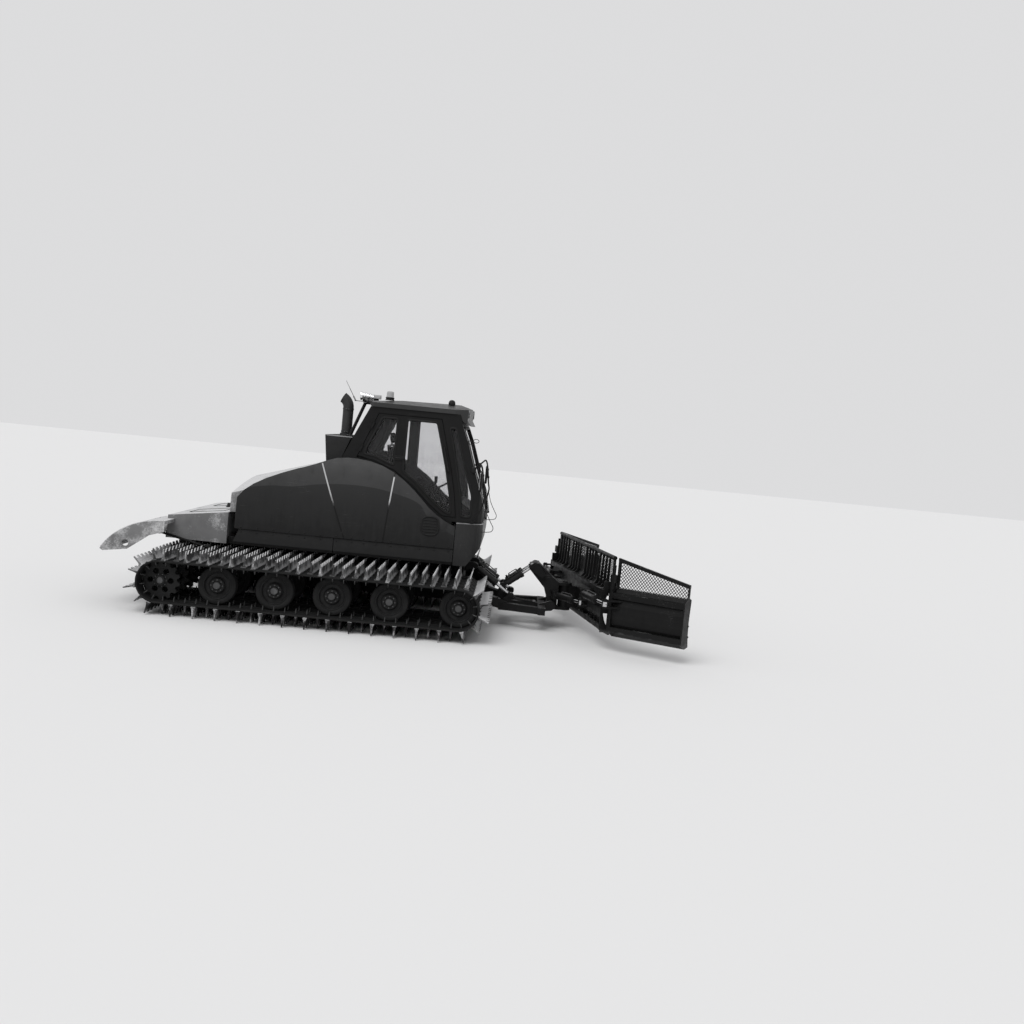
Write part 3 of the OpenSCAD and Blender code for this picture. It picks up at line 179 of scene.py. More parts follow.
def revolve(profile, sides=32, axis="y"):
    """A profile of (radius, place) turned round an axis, drawn so that places grow along its outside.
    An end on the axis becomes one point under a fan. With one such end the other gets a flat foot, and with
    none the profile closes on itself."""
    profile = np.asarray(profile, float)
    on_axis = profile[[0, -1], 0] == 0
    if on_axis.any():
        feet = [[[0, profile[end, 1]]] if not on_axis[end] else np.zeros((0, 2)) for end in (0, -1)]
        profile = np.concatenate([feet[0], profile, feet[1]])
    elif (profile[0] == profile[-1]).all():
        profile = profile[:-1]
    turn = np.arange(sides) / sides * 2 * math.pi
    rings = profile[profile[:, 0] > 0]
    r, h = rings[:, 0][None], rings[:, 1][None]
    u, v, w = np.cos(turn)[:, None] * r, np.sin(turn)[:, None] * r, np.broadcast_to(h, (sides, len(rings)))
    order = {"y": (v, w, u), "z": (u, v, w), "x": (w, u, v)}[axis]
    points = np.stack(order, axis=2).reshape(-1, 3)
    faces = [grid_faces(sides, len(rings), True, not on_axis.any())[:, ::-1]]
    ring = np.arange(sides) * len(rings)
    for end in (0, -1) if on_axis.any() else ():
        tip = np.zeros(3)
        tip["xyz".index(axis)] = profile[end, 1]
        at_end = ring + (0 if end == 0 else len(rings) - 1)
        after = np.roll(at_end, -1)
        fan = np.stack([at_end, after, np.full(sides, len(points))], axis=1)
        faces.append(fan[:, ::-1] if end == 0 else fan)
        points = np.concatenate([points, tip[None]])
    return points, faces


def block(size, chamfer=0.002, centre=(0, 0, 0)):
    """A box with its edges cut: 24 points, where each corner's three faces end, joined in faces by angle."""
    half = np.asarray(size, float) / 2
    c = min(chamfer, half.min() * 0.9)
    signs = np.array([[x, y, z] for x in (-1, 1) for y in (-1, 1) for z in (-1, 1)], float)
    points = np.concatenate([signs * (half - c * (1 - np.eye(3)[k])) for k in range(3)])
    corner = {tuple(s): i for i, s in enumerate(signs.astype(int))}
    quads, tris = [], []

    def add(ids, outward):
        """Keeps a face, turned so that its normal looks outwards."""
        p = points[ids]
        normal = np.cross(p[1] - p[0], p[2] - p[0])
        ids = ids if normal @ outward > 0 else ids[::-1]
        (quads if len(ids) == 4 else tris).append(ids)

    for k in range(3):
        i, j = (k + 1) % 3, (k + 2) % 3
        for s in (-1, 1):
            ring = []
            for a, b in ((-1, -1), (1, -1), (1, 1), (-1, 1)):
                v = [0, 0, 0]
                v[k], v[i], v[j] = s, a, b
                ring.append(corner[tuple(v)] + 8 * k)
            add(ring, np.eye(3)[k] * s)
        for a in (-1, 1):
            for b in (-1, 1):
                v, w = [0, 0, 0], [0, 0, 0]
                v[k], v[i], v[j] = -1, a, b
                w[k], w[i], w[j] = 1, a, b
                v, w = corner[tuple(v)], corner[tuple(w)]
                add([v + 8 * i, w + 8 * i, w + 8 * j, v + 8 * j], np.eye(3)[i] * a + np.eye(3)[j] * b)
    for n, s in enumerate(signs):
        add([n, n + 8, n + 16], s)
    return points + np.asarray(centre, float), [np.array(quads), np.array(tris)]


def turn_about(axis, angle):
    """Rows of the axes of a frame that is turned about an axis."""
    return np.array(Matrix.Rotation(angle, 3, Vector(axis))).T


def turned(shape, matrix):
    """The shape with its coordinates measured along a matrix's rows."""
    return shape[0] @ matrix, shape[1]


def frame_to(direction, up=(0, 0, 1)):
    """Axes with the third along a direction."""
    w = np.asarray(direction, float) / np.linalg.norm(direction)
    u = np.cross(up, w)
    u /= np.linalg.norm(u)
    return np.stack([u, np.cross(w, u), w])


def bolt(radius=0.011, height=0.008):
    """A hexagon head with a cut edge, its foot at z = 0."""
    return revolve([(radius, 0), (radius, height * 0.75), (radius * 0.8, height), (0, height)], 6, "z")


def piece(name, parts, body, replaces=(), sharp=35):
    """A finished object from (shape, material) parts, riding on a body and in its place in the mesh."""
    groups = [(moved(s, ORIGIN), m) for s, m in parts]
    points, faces = merged([g[0] for g in groups])
    slots = np.concatenate([np.full(sum(len(f) for f in g[0][1]), i) for i, g in enumerate(groups)])
    sizes = np.concatenate([np.full(len(f), f.shape[1]) for f in faces])
    mesh = bpy.data.meshes.new(name)
    mesh.vertices.add(len(points))
    mesh.vertices.foreach_set("co", points.astype(np.float32).ravel())
    loops = np.concatenate([f.ravel() for f in faces])
    mesh.loops.add(len(loops))
    mesh.loops.foreach_set("vertex_index", loops.astype(np.int32))
    mesh.polygons.add(len(sizes))
    mesh.polygons.foreach_set("loop_start", np.concatenate([[0], np.cumsum(sizes)[:-1]]).astype(np.int32))
    materials = []
    for _, material in groups:
        if material not in materials:
            materials.append(material)
    index = np.array([materials.index(g[1]) for g in groups])
    for material in materials:
        mesh.materials.append(material)
    mesh.polygons.foreach_set("material_index", index[slots].astype(np.int32))
    mesh.update(calc_edges=True)
    mesh.polygons.foreach_set("use_smooth", np.ones(len(sizes), bool))
    mesh.set_sharp_from_angle(angle=math.radians(sharp))
    mesh.validate()
    thing = bpy.data.objects.new(name, mesh)
    bpy.context.scene.collection.objects.link(thing)
    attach(thing, body)
    if replaces:
        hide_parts(*replaces)
    return thing


# Shader helpers: a number set on a socket is its value, and a socket is linked to it

def node(tree, kind, inputs=None, **settings):
    """A new shader node, set and linked."""
    made = tree.nodes.new(kind)
    for key, value in settings.items():
        setattr(made, key, value)
    for key, value in (inputs or {}).items():
        if isinstance(value, bpy.types.NodeSocket):
            tree.links.new(value, made.inputs[key])
        else:
            made.inputs[key].default_value = value
    return made


def calc(tree, operation, a, b=0.5, clamp=False):
    """The result of a Math node."""
    return node(tree, "ShaderNodeMath", {0: a, 1: b}, operation=operation, use_clamp=clamp).outputs[0]


def spread(tree, value, start, end, low_out=0.0, high_out=1.0, soft=True):
    """The value's way from start to end as a share from low_out to high_out, eased at both ends if soft."""
    kind = "SMOOTHSTEP" if soft else "LINEAR"
    made = node(tree, "ShaderNodeMapRange", {"Value": value, "From Min": start, "From Max": end,
                                             "To Min": low_out, "To Max": high_out}, interpolation_type=kind)
    return made.outputs["Result"]


def noise(tree, vector, scale, detail=3.0, rough=0.55):
    """Noise from 0 to 1 over a vector."""
    made = node(tree, "ShaderNodeTexNoise",
                {"Vector": vector, "Scale": scale, "Detail": detail, "Roughness": rough})
    return made.outputs["Fac"]


def stretched(tree, vector, scale):
    """The vector with each coordinate times its own scale."""
    return node(tree, "ShaderNodeMapping", {"Vector": vector, "Scale": scale}).outputs["Vector"]


def mixed(tree, factor, a, b):
    """Colour a where the factor is 0 and colour b where it is 1."""
    made = node(tree, "ShaderNodeMix", {"Factor": factor}, data_type="RGBA")
    for key, value in ((6, a), (7, b)):
        if isinstance(value, bpy.types.NodeSocket):
            tree.links.new(value, made.inputs[key])
        else:
            made.inputs[key].default_value = grey(value)
    return made.outputs[2]


def grey(tone):
    """A colour of one tone with a trace of blue."""
    return (tone, tone, tone * 1.01, 1.0)


def group(name, inputs, output):
    """A new shader group with number inputs and one output: its tree, both nodes' sockets and the place."""
    tree = bpy.data.node_groups.new(name, "ShaderNodeTree")
    for label, value in inputs.items():
        socket = tree.interface.new_socket(name=label, in_out="INPUT", socket_type="NodeSocketFloat")
        socket.default_value = value
    tree.interface.new_socket(name=output, in_out="OUTPUT", socket_type="NodeSocketFloat")
    ins = tree.nodes.new("NodeGroupInput").outputs
    outs = tree.nodes.new("NodeGroupOutput").inputs
    coords = tree.nodes.new("ShaderNodeTexCoord").outputs["Object"]
    return tree, ins, outs, coords


def make_frost():
    """Frost and powder: thickest on faces that look up, broken by two noises, more of it with Cover."""
    tree, ins, outs, coords = group("powder frost", {"Cover": 0.5, "Scale": 3.0}, "Mask")
    normal = tree.nodes.new("ShaderNodeNewGeometry").outputs["Normal"]
    upward = spread(tree, node(tree, "ShaderNodeSeparateXYZ", {0: normal}).outputs["Z"], -0.1, 0.85)
    coarse = noise(tree, coords, ins["Scale"], 5.0, 0.62)
    fine = noise(tree, coords, calc(tree, "MULTIPLY", ins["Scale"], 14.0), 3.0, 0.7)
    broken = calc(tree, "ADD", coarse, calc(tree, "MULTIPLY", fine, 0.4))
    total = calc(tree, "ADD", calc(tree, "MULTIPLY", upward, 0.34), broken)
    edge = calc(tree, "SUBTRACT", 1.3, ins["Cover"])
    share = calc(tree, "MULTIPLY", calc(tree, "SUBTRACT", total, edge), 3.2, clamp=True)
    tree.links.new(spread(tree, share, 0.0, 1.0), outs["Mask"])
    return tree


def make_low_darkening():
    """Darker towards the bottom: full at Bottom, gone at Top, in blotches and runs."""
    tree, ins, outs, coords = group("darker low down", {"Bottom": 0.8, "Top": 1.6, "Amount": 0.5}, "Mask")
    height = node(tree, "ShaderNodeSeparateXYZ", {0: coords}).outputs["Z"]
    fall = spread(tree, height, ins["Top"], ins["Bottom"], soft=False)
    blotch = noise(tree, coords, 4.5, 6.0, 0.68)
    runs = noise(tree, stretched(tree, coords, (16.0, 16.0, 1.6)), 1.0, 3.0, 0.6)
    worn = calc(tree, "ADD", calc(tree, "MULTIPLY", blotch, 0.7), calc(tree, "MULTIPLY", runs, 0.5))
    mask = spread(tree, calc(tree, "ADD", worn, calc(tree, "MULTIPLY", fall, 0.45)), 0.62, 1.02)
    tree.links.new(calc(tree, "MULTIPLY", mask, ins["Amount"], clamp=True), outs["Mask"])
    return tree


def make_scuffs():
    """Short rubbed lines along X and Y: ridges of two stretched noises, kept only in worn patches."""
    tree, ins, outs, coords = group("scuff lines", {"Amount": 0.5, "Scale": 1.0}, "Mask")
    lines = []
    for scale in ((6.0, 90.0, 120.0), (80.0, 7.0, 110.0)):
        vector = node(tree, "ShaderNodeVectorMath",
                      {0: stretched(tree, coords, scale), "Scale": ins["Scale"]},
                      operation="SCALE").outputs[0]
        lines.append(spread(tree, noise(tree, vector, 1.0, 2.0, 0.5), 0.64, 0.72))
    patch = spread(tree, noise(tree, coords, 3.0, 4.0, 0.6), 0.48, 0.66)
    mask = calc(tree, "MULTIPLY", calc(tree, "MAXIMUM", lines[0], lines[1]), patch)
    tree.links.new(calc(tree, "MULTIPLY", mask, ins["Amount"], clamp=True), outs["Mask"])
    return tree


def make_grain():
    """Surface height: orange peel of a sprayed or cast surface, from two sizes of noise."""
    tree, ins, outs, coords = group("surface grain", {"Scale": 300.0, "Coarse": 0.3}, "Height")
    fine = noise(tree, coords, ins["Scale"], 2.0, 0.5)
    coarse = noise(tree, coords, calc(tree, "MULTIPLY", ins["Scale"], 0.04), 3.0, 0.6)
    tree.links.new(calc(tree, "ADD", fine, calc(tree, "MULTIPLY", coarse, ins["Coarse"])), outs["Height"])
    return tree


FROST, LOW_DARKENING, SCUFFS, GRAIN = make_frost(), make_low_darkening(), make_scuffs(), make_grain()
# Tone of frost and of the darkening low down, how far frost hides the paint, and its height against the
# paint's grain
FROST_TONE = 0.62
LOW_DARK_TONE = 0.011
FROST_COVER = 0.92
FROST_HEIGHT = 5.0
COAT_ROUGHNESS = 0.16
GRAIN_DEPTH = 0.004


def mask(tree, source, **values):
    """A group's output inside a material, with the material's own values."""
    made = node(tree, "ShaderNodeGroup", node_tree=source)
    for key, value in values.items():
        made.inputs[key].default_value = value
    return made.outputs[0]


def finish(name, tone, rough, metal=0.0, coat=0.0, frost=0.0, frost_scale=3.0, low_dark=(0.8, 1.7, 0.0),
           scuffs=0.0, bare=0.20, grain=220.0, bump=0.12, mottle=0.14, paint=None, shine=0.22):
    """A worn, cold finish: a mottled tone, scuffs down to bare metal, darker towards the bottom and frost on
    top.
    """
    material = bpy.data.materials.new(name)
    material.use_nodes = True
    tree = material.node_tree
    shader = tree.nodes["Principled BSDF"]
    coords = tree.nodes.new("ShaderNodeTexCoord").outputs["Object"]
    cloud = noise(tree, coords, 2.2, 5.0, 0.62)
    base = paint(tree, coords) if paint else None
    if base:
        colour = mixed(tree, spread(tree, cloud, 0.3, 0.75, 0.0, mottle * 2), base, LOW_DARK_TONE)
    else:
        colour = mixed(tree, spread(tree, cloud, 0.3, 0.72), tone * (1 - mottle), tone * (1 + mottle))
    patch = noise(tree, coords, 9.0, 4.0, 0.65)
    roughness = spread(tree, patch, 0.3, 0.75, rough * 0.82, min(1.0, rough * 1.22))
    if scuffs:
        worn = mask(tree, SCUFFS, Amount=scuffs)
        colour = mixed(tree, worn, colour, bare)
    # Colour darkened towards the bottom, in blotches and runs
    if low_dark[2]:
        darker_low = mask(tree, LOW_DARKENING, Bottom=low_dark[0], Top=low_dark[1], Amount=low_dark[2])
        colour = mixed(tree, darker_low, colour, LOW_DARK_TONE)
        roughness = calc(tree, "MAXIMUM", roughness, calc(tree, "MULTIPLY", darker_low, 0.85))
    height = mask(tree, GRAIN, Scale=grain)
    if frost:
        powder = mask(tree, FROST, Cover=frost, Scale=frost_scale)
        sparkle = noise(tree, coords, 38.0, 3.0, 0.7)
        snow = mixed(tree, sparkle, FROST_TONE * 0.72, FROST_TONE * 1.2)
        colour = mixed(tree, calc(tree, "MULTIPLY", powder, FROST_COVER), colour, snow)
        roughness = calc(tree, "MAXIMUM", roughness, calc(tree, "MULTIPLY", powder, 0.8))
        crust = calc(tree, "MULTIPLY", calc(tree, "MULTIPLY", powder, sparkle), FROST_HEIGHT)
        height = calc(tree, "ADD", height, crust)
    tree.links.new(colour, shader.inputs["Base Color"])
    tree.links.new(roughness, shader.inputs["Roughness"])
    shader.inputs["Metallic"].default_value = metal
    shader.inputs["Coat Weight"].default_value = coat
    shader.inputs["Specular IOR Level"].default_value = shine
    shader.inputs["Coat Roughness"].default_value = COAT_ROUGHNESS
    if bump:
        raised = node(tree, "ShaderNodeBump", {"Height": height, "Strength": bump, "Distance": GRAIN_DEPTH})
        tree.links.new(raised.outputs[0], shader.inputs["Normal"])
    return material


def dress(name, material):
    """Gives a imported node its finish, in its own slots."""
    thing = frame["nodes"][name]
    if not thing.data.materials:
        thing.data.materials.append(material)
    for i in range(len(thing.data.materials)):
        thing.data.materials[i] = material


# Finishes

def make_glass():
    """Tinted cab glass, a little darker in blotches lower down."""
    material = finish("cab_glass", 0.84, 0.0, bump=0.0, low_dark=(1.4, 2.6, 0.12), mottle=0.02, shine=0.4)
    shader = material.node_tree.nodes["Principled BSDF"]
    shader.inputs["Transmission Weight"].default_value = 0.985
    shader.inputs["IOR"].default_value = 1.2
    return material


def make_lens(name, tone):
    """Moulded lamp glass with fine vertical ribs."""
    material = finish(name, tone, 0.12, coat=0.6, bump=0.02, mottle=0.05)
    tree = material.node_tree
    shader = tree.nodes["Principled BSDF"]
    coords = tree.nodes.new("ShaderNodeTexCoord").outputs["Object"]
    ribs = node(tree, "ShaderNodeTexWave", {"Vector": coords, "Scale": 60.0},
                bands_direction="Y").outputs["Fac"]
    raised = node(tree, "ShaderNodeBump", {"Height": ribs, "Strength": 0.35, "Distance": 0.003})
    tree.links.new(raised.outputs[0], shader.inputs["Normal"])
    return material


# Lower edge of the lighter band on the side panels, as X from the sprockets' axis and Z
BAND_EDGE = [(0.70, 1.60), (1.12, 1.70), (1.45, 1.72), (1.80, 1.78), (2.15, 1.81), (2.50, 1.80), (2.80, 1.75),
             (3.10, 1.66), (3.24, 1.50), (3.40, 1.37), (3.63, 1.28), (3.80, 1.25)]
BAND_X = (0.7, 3.8)
BAND_Z = (1.2, 1.9)
BAND_BLUR = 0.004
# Tones under and over that edge, and of the blade's paint and of its rubbed steel, whose lighter grey is also
# a painted highlight
BAND_TONES = (0.016, 0.036)
EDGE_AND_HIGHLIGHT_TONES = (0.005, 0.075)
# Heights between which the blade's paint gives way to bare steel and painted highlight, and how far that
# limit wanders
EDGE_RAGGED = 0.16
EDGE_WEAR_AND_HIGHLIGHT = (low("blade")[2] + EDGE_RAGGED / 2 + 0.085, low("blade")[2] + EDGE_RAGGED / 2 + 0.045)


def band_paint(tree, coords):
    """Two tones of paint: lighter over a curve along the side panel, darker below, with a crisp edge."""
    place = node(tree, "ShaderNodeSeparateXYZ", {0: coords}).outputs
    along = spread(tree, place["X"], ORIGIN[0] + BAND_X[0], ORIGIN[0] + BAND_X[1], soft=False)
    curve = tree.nodes.new("ShaderNodeFloatCurve")
    points = curve.mapping.curves[0].points
    length, rise = BAND_X[1] - BAND_X[0], BAND_Z[1] - BAND_Z[0]
    spots = [((x - BAND_X[0]) / length, (z - BAND_Z[0]) / rise) for x, z in BAND_EDGE]
    points[0].location, points[-1].location = spots[0], spots[-1]
    for spot in spots[1:-1]:
        points.new(*spot)
    curve.mapping.update()
    tree.links.new(along, curve.inputs["Value"])
    edge = calc(tree, "ADD", calc(tree, "MULTIPLY", curve.outputs[0], rise), BAND_Z[0])
    over = spread(tree, calc(tree, "SUBTRACT", place["Z"], edge), -BAND_BLUR, BAND_BLUR)
    return mixed(tree, over, *BAND_TONES)


def edge_wear_and_highlight_paint(tree, coords):
    """Black paint, lighter along the cutting edge as rubbed steel and as a painted highlight: by height, with
    a ragged upper limit.
    """
    height = node(tree, "ShaderNodeSeparateXYZ", {0: coords}).outputs["Z"]
    patch = noise(tree, coords, 5.0, 6.0, 0.68)
    ragged = calc(tree, "ADD", height, calc(tree, "MULTIPLY", patch, EDGE_RAGGED))
    # Lighter along the cutting edge: rubbed steel and a painted highlight
    worn = spread(tree, ragged, *EDGE_WEAR_AND_HIGHLIGHT)
    return mixed(tree, worn, *EDGE_AND_HIGHLIGHT_TONES)


F = {
    "side": finish("side_paint", 0.05, 0.42, coat=0.05, shine=0.16, frost=0.10, low_dark=(1.0, 1.75, 0.8),
                   scuffs=0.15, paint=band_paint),
    "sill": finish("sill_paint", 0.020, 0.50, frost=0.14, low_dark=(0.9, 1.3, 0.6), scuffs=0.3),
    "nose": finish("nose_paint", 0.022, 0.46, coat=0.08, frost=0.42, frost_scale=2.2, low_dark=(0.9, 1.5, 0.6),
                   scuffs=0.25),
    "dusted": finish("dusted_paint", 0.18, 0.60, frost=0.60, frost_scale=3.4, low_dark=(1.0, 1.5, 0.15),
                     scuffs=0.2),
    "fender": finish("fender_paint", 0.17, 0.65, frost=0.66, frost_scale=3.6, low_dark=(0.6, 0.9, 0.35),
                     scuffs=0.2),
    "roof": finish("roof_paint", 0.030, 0.45, coat=0.10, frost=0.14, scuffs=0.15, bump=0.2),
    "cab": finish("cab_paint", 0.006, 0.36, coat=0.06, shine=0.14, low_dark=(1.2, 2.0, 0.35), scuffs=0.08),
    "intake": finish("intake_plastic", 0.019, 0.62, frost=0.22, grain=160.0, bump=0.3),
    "stack": finish("stack_steel", 0.040, 0.55, metal=0.4, frost=0.06, scuffs=0.3, bump=0.25),
    "frame": finish("frame_paint", 0.007, 0.52, shine=0.14, frost=0.22, low_dark=(0.3, 0.9, 0.7), scuffs=0.35),
    "blade": finish("blade_paint", 0.005, 0.45, shine=0.14, frost=0.22, frost_scale=2.4,
                    low_dark=(0.25, 0.7, 0.45), scuffs=0.4, mottle=0.02, paint=edge_wear_and_highlight_paint),
    "barrel": finish("barrel_paint", 0.008, 0.40, coat=0.1, frost=0.12, low_dark=(0.3, 0.8, 0.5), scuffs=0.3),
    "rod": finish("chromed_rod", 0.55, 0.14, metal=1.0, bump=0.02, mottle=0.04),
    "zinc": finish("zinc_fixings", 0.20, 0.42, metal=0.85, low_dark=(0.3, 1.2, 0.6)),
    "cast": finish("cast_wheel", 0.012, 0.58, metal=0.1, frost=0.10, low_dark=(0.1, 0.9, 0.8), scuffs=0.3,
                   bump=0.35),
    "rubber": finish("track_rubber", 0.008, 0.78, frost=0.08, frost_scale=5.0, low_dark=(0.1, 0.9, 0.8),
                     bump=0.35),
    "tyre": finish("wheel_rubber", 0.007, 0.75, low_dark=(0.1, 0.8, 0.8), bump=0.3),
    "bar": finish("frosted_bars", 0.050, 0.55, metal=0.3, frost=0.66, frost_scale=6.0, low_dark=(0.0, 0.5, 0.9),
                  scuffs=0.4, bump=0.5),
    "seal": finish("window_rubber", 0.006, 0.6, bump=0.1),
    "trim": finish("black_plastic", 0.008, 0.5, grain=260.0, bump=0.25),
    # Light grey seam strips: painted highlight of the panel edges at the seams, dark towards the bottom
    "seam_highlight": finish("seam_strip_highlight", 0.42, 0.45, metal=0.2, low_dark=(1.50, 1.72, 1.0)),
    "dash": finish("dashboard_plastic", 0.016, 0.58, grain=320.0, bump=0.3),
    "engine": finish("engine_casting", 0.06, 0.6, metal=0.4, bump=0.4),
    "screen": finish("dark_screen", 0.008, 0.10, coat=0.5, bump=0.01, shine=0.5),
    "hose": finish("hydraulic_hose", 0.008, 0.5, frost=0.10, bump=0.1),
    "mirror": finish("mirror_glass", 0.80, 0.03, metal=1.0, bump=0.0, mottle=0.01, shine=0.5),
    "shell": finish("lamp_housing", 0.24, 0.4, frost=0.35, bump=0.2),
    "pale": finish("pale_case", 0.50, 0.35, coat=0.2, low_dark=(2.8, 3.1, 0.1), bump=0.05, shine=0.5),
    "cloth": finish("seat_fabric", 0.016, 0.85, grain=900.0, bump=0.35),
    "bright": finish("lamp_reflector", 0.85, 0.10, metal=1.0, bump=0.02, mottle=0.02, shine=0.5),
    "glass": make_glass(),
    "lens": make_lens("clear_lens", 0.72),
    "dome": make_lens("beacon_lens", 0.42),
}

DRESSED = {
    "frame": ["chassis", "push_frame", "tower", "axles"],
    "engine": ["engine"],
    "cast": ["sprockets"],
    "sill": ["side_sills"],
    "side": ["side_panels"],
    "nose": ["nose_panel"],
    "dusted": ["hood", "rear_deck"],
    "fender": ["rear_fenders"],
    "intake": ["air_intake"],
    "stack": ["exhaust"],
    "cab": ["cab_shell", "door_left", "door_right"],
    "roof": ["cab_roof"],
    "glass": ["cab_glass", "door_glass_left", "door_glass_right"],
    "dash": ["console"],
    "trim": ["antenna", "mirrors"],
    "blade": ["blade", "wing_left", "wing_right"],
    "barrel": ["lift_barrels", "pitch_barrels", "angle_barrel_left", "angle_barrel_right", "wing_barrel_left",
               "wing_barrel_right"],
    "rod": ["lift_rods", "pitch_rods", "angle_rod_left", "angle_rod_right", "wing_rod_left",
            "wing_rod_right"],
}
for key, nodes in DRESSED.items():
    for name in nodes:
        dress(name, F[key])


# Tracks: belts with steel bars across them

BELT_SEAT = 0.0003
BELT_T = 0.022
BELT_R = high("sprockets")[2] - HUB_Z + BELT_SEAT + BELT_T
BAR_H = high("track_left")[2] - HUB_Z - BELT_R
BARS = 66
TRACK_OUT = high("track_left")[1] - ORIGIN[1]
TRACK_IN = low("track_left")[1] - ORIGIN[1]
RUN = FRONT_WHEEL
LOOP = 2 * (RUN + math.pi * BELT_R)
PITCH = LOOP / BARS


def belt_line(s, height=0.0):
    """Points on the track's loop and their outward directions: straight, half turn, straight, half turn."""
    s = np.asarray(s, float) % LOOP
    bend = math.pi * BELT_R
    turn = np.where(s < RUN, 0.0, np.where(s < RUN + bend, (s - RUN) / BELT_R,
                    np.where(s < 2 * RUN + bend, math.pi, math.pi + (s - 2 * RUN - bend) / BELT_R)))
    back = np.where(s < 2 * RUN + bend, 2 * RUN + bend - s, 0.0)
    x = np.where(s < RUN, s, np.where(s < RUN + bend, RUN, back))
    out = np.stack([np.sin(turn), np.zeros_like(s), np.cos(turn)], axis=1)
    centre = np.stack([x, np.zeros_like(s), np.full_like(s, HUB_Z)], axis=1)
    return centre + out * (BELT_R + height), out


def bar_frames(s):
    """Origin on the belt's face, and axes along the belt, across it and outwards, for each place."""
    place, out = belt_line(s)
    across = np.broadcast_to([0.0, 1.0, 0.0], out.shape)
    return place, np.stack([np.cross(across, out), across, out], axis=1)


def belt_strip(y0, y1):
    """A flat belt's section, with rounded edges and two shallow grooves, carried round the loop."""
    s = np.concatenate([np.linspace(0, RUN, 30)[:-1], RUN + np.linspace(0, math.pi * BELT_R, 26)[:-1],
                        RUN + math.pi * BELT_R + np.linspace(0, RUN, 30)[:-1],
                        2 * RUN + math.pi * BELT_R + np.linspace(0, math.pi * BELT_R, 26)[:-1]])
    place, out = belt_line(s)
    e, w = 0.005, y1 - y0
    section = np.array([(e, 0), (w * 0.30, 0), (w * 0.32, -0.003), (w * 0.36, -0.003), (w * 0.38, 0),
                        (w * 0.62, 0), (w * 0.64, -0.003), (w * 0.68, -0.003), (w * 0.70, 0), (w - e, 0),
                        (w, -e), (w, e - BELT_T), (w - e, -BELT_T), (e, -BELT_T), (0, e - BELT_T),
                        (0, -e)])[::-1]
    across = np.array([0, 1.0, 0]) * (y0 + section[None, :, :1])
    rings = place[:, None] + across + section[None, :, 1:] * out[:, None]
    return rings.reshape(-1, 3), [grid_faces(len(s), len(section), True, True)]


def bar_shape(y0, y1, teeth):
    """A track bar from y0 to y1: a concave tapered section, its top edge cut into teeth, both ends closed."""
    half = np.array([(0.026, 0.0), (0.025, 0.010), (0.016, 0.022), (0.010, 0.060), (0.008, 0.85),
                     (0.0065, 1.0)])
    steps = np.linspace(y0, y1, teeth * 6 + 1)
    phase = (np.arange(len(steps)) % 6) / 6
    notch = np.where((phase > 0.30) & (phase < 0.8), 0.72, 1.0)
    notch[[0, -1]] = 0.97
    height = BAR_H * notch
    x = np.concatenate([half[:, 0], -half[::-1, 0]])
    level = half[:, 1]
    z = np.where(level[None] > 0.5, level[None] * height[:, None], level[None])
    z = np.concatenate([z, z[:, ::-1]], axis=1)
    rings = np.stack([np.broadcast_to(x, z.shape), np.broadcast_to(steps[:, None], z.shape), z], axis=2)
    rows, columns = z.shape
    points = rings.reshape(-1, 3)
    first, last = np.arange(columns), (rows - 1) * columns + np.arange(columns)
    caps = []
    for ring, flip in ((first, False), (last, True)):
        near, back = ring[:columns // 2], ring[::-1][:columns // 2]
        quads = np.stack([near[:-1], near[1:], back[1:], back[:-1]], axis=1)
        caps.append(quads[:, ::-1] if flip else quads)
    return points, [grid_faces(rows, columns, False, True)[:, ::-1]] + caps


def track(sign):
    """Five belts a side, long and short bars by turns, and the plates that hold the bars on each belt."""
    long_s = (np.arange(0, BARS, 2) + 0.5) * PITCH
    short_s = (np.arange(1, BARS, 2) + 0.5) * PITCH
    strips = 5
    step = (TRACK_OUT - TRACK_IN) / strips
    gap = 0.028
    belts = merged([belt_strip(TRACK_IN + i * step + gap, TRACK_IN + (i + 1) * step - gap)
                    for i in range(strips)])
    inset = 0.15
    long_bar = bar_shape(TRACK_IN, TRACK_OUT, 10)
    short_bar = bar_shape(TRACK_IN + inset, TRACK_OUT - inset, 8)
    bars = merged([repeated(long_bar, *bar_frames(long_s)), repeated(short_bar, *bar_frames(short_s))])
    plate = block((0.074, 0.11, 0.008), 0.002, (0, 0, 0.004))
    head = moved(bolt(0.010, 0.007), (0, 0, 0.008))
    fixing = merged([moved(head, (x, 0, 0)) for x in (-0.031, 0.031)])
    centres = [TRACK_IN + (i + 0.5) * step for i in range(strips)]
    all_s = (np.arange(BARS) + 0.5) * PITCH
    plates = merged([repeated(moved(plate, (0, y, 0)), *bar_frames(all_s)) for y in centres])
    fixings = merged([repeated(moved(fixing, (0, y, 0)), *bar_frames(all_s)) for y in centres])
    side = "left" if sign > 0 else "right"
    place = (lambda shape: shape) if sign > 0 else mirrored
    piece(f"track_belts_{side}", [(place(belts), F["rubber"])], "machine", replaces=[f"track_{side}"])
    piece(f"track_bars_{side}", [(place(bars), F["bar"])], "machine", sharp=30)
    piece(f"belt_plates_{side}", [(place(plates), F["zinc"]), (place(fixings), F["zinc"])], "machine")


for sign in (1, -1):
    track(sign)


# Wheels: rubber tyre, cast dish and hub with its bolts

WHEEL_W = 0.130
WHEEL_SEAT = 0.0004
WHEEL_R = BELT_R - BELT_T - WHEEL_SEAT
NUT_CIRCLE, HOLE_CIRCLE = 0.073, 0.131
WHEEL_X = [0.72, 1.45, 2.18, 2.91, RUN]
WHEEL_Y = [TRACK_IN + 0.34, TRACK_OUT - 0.33]


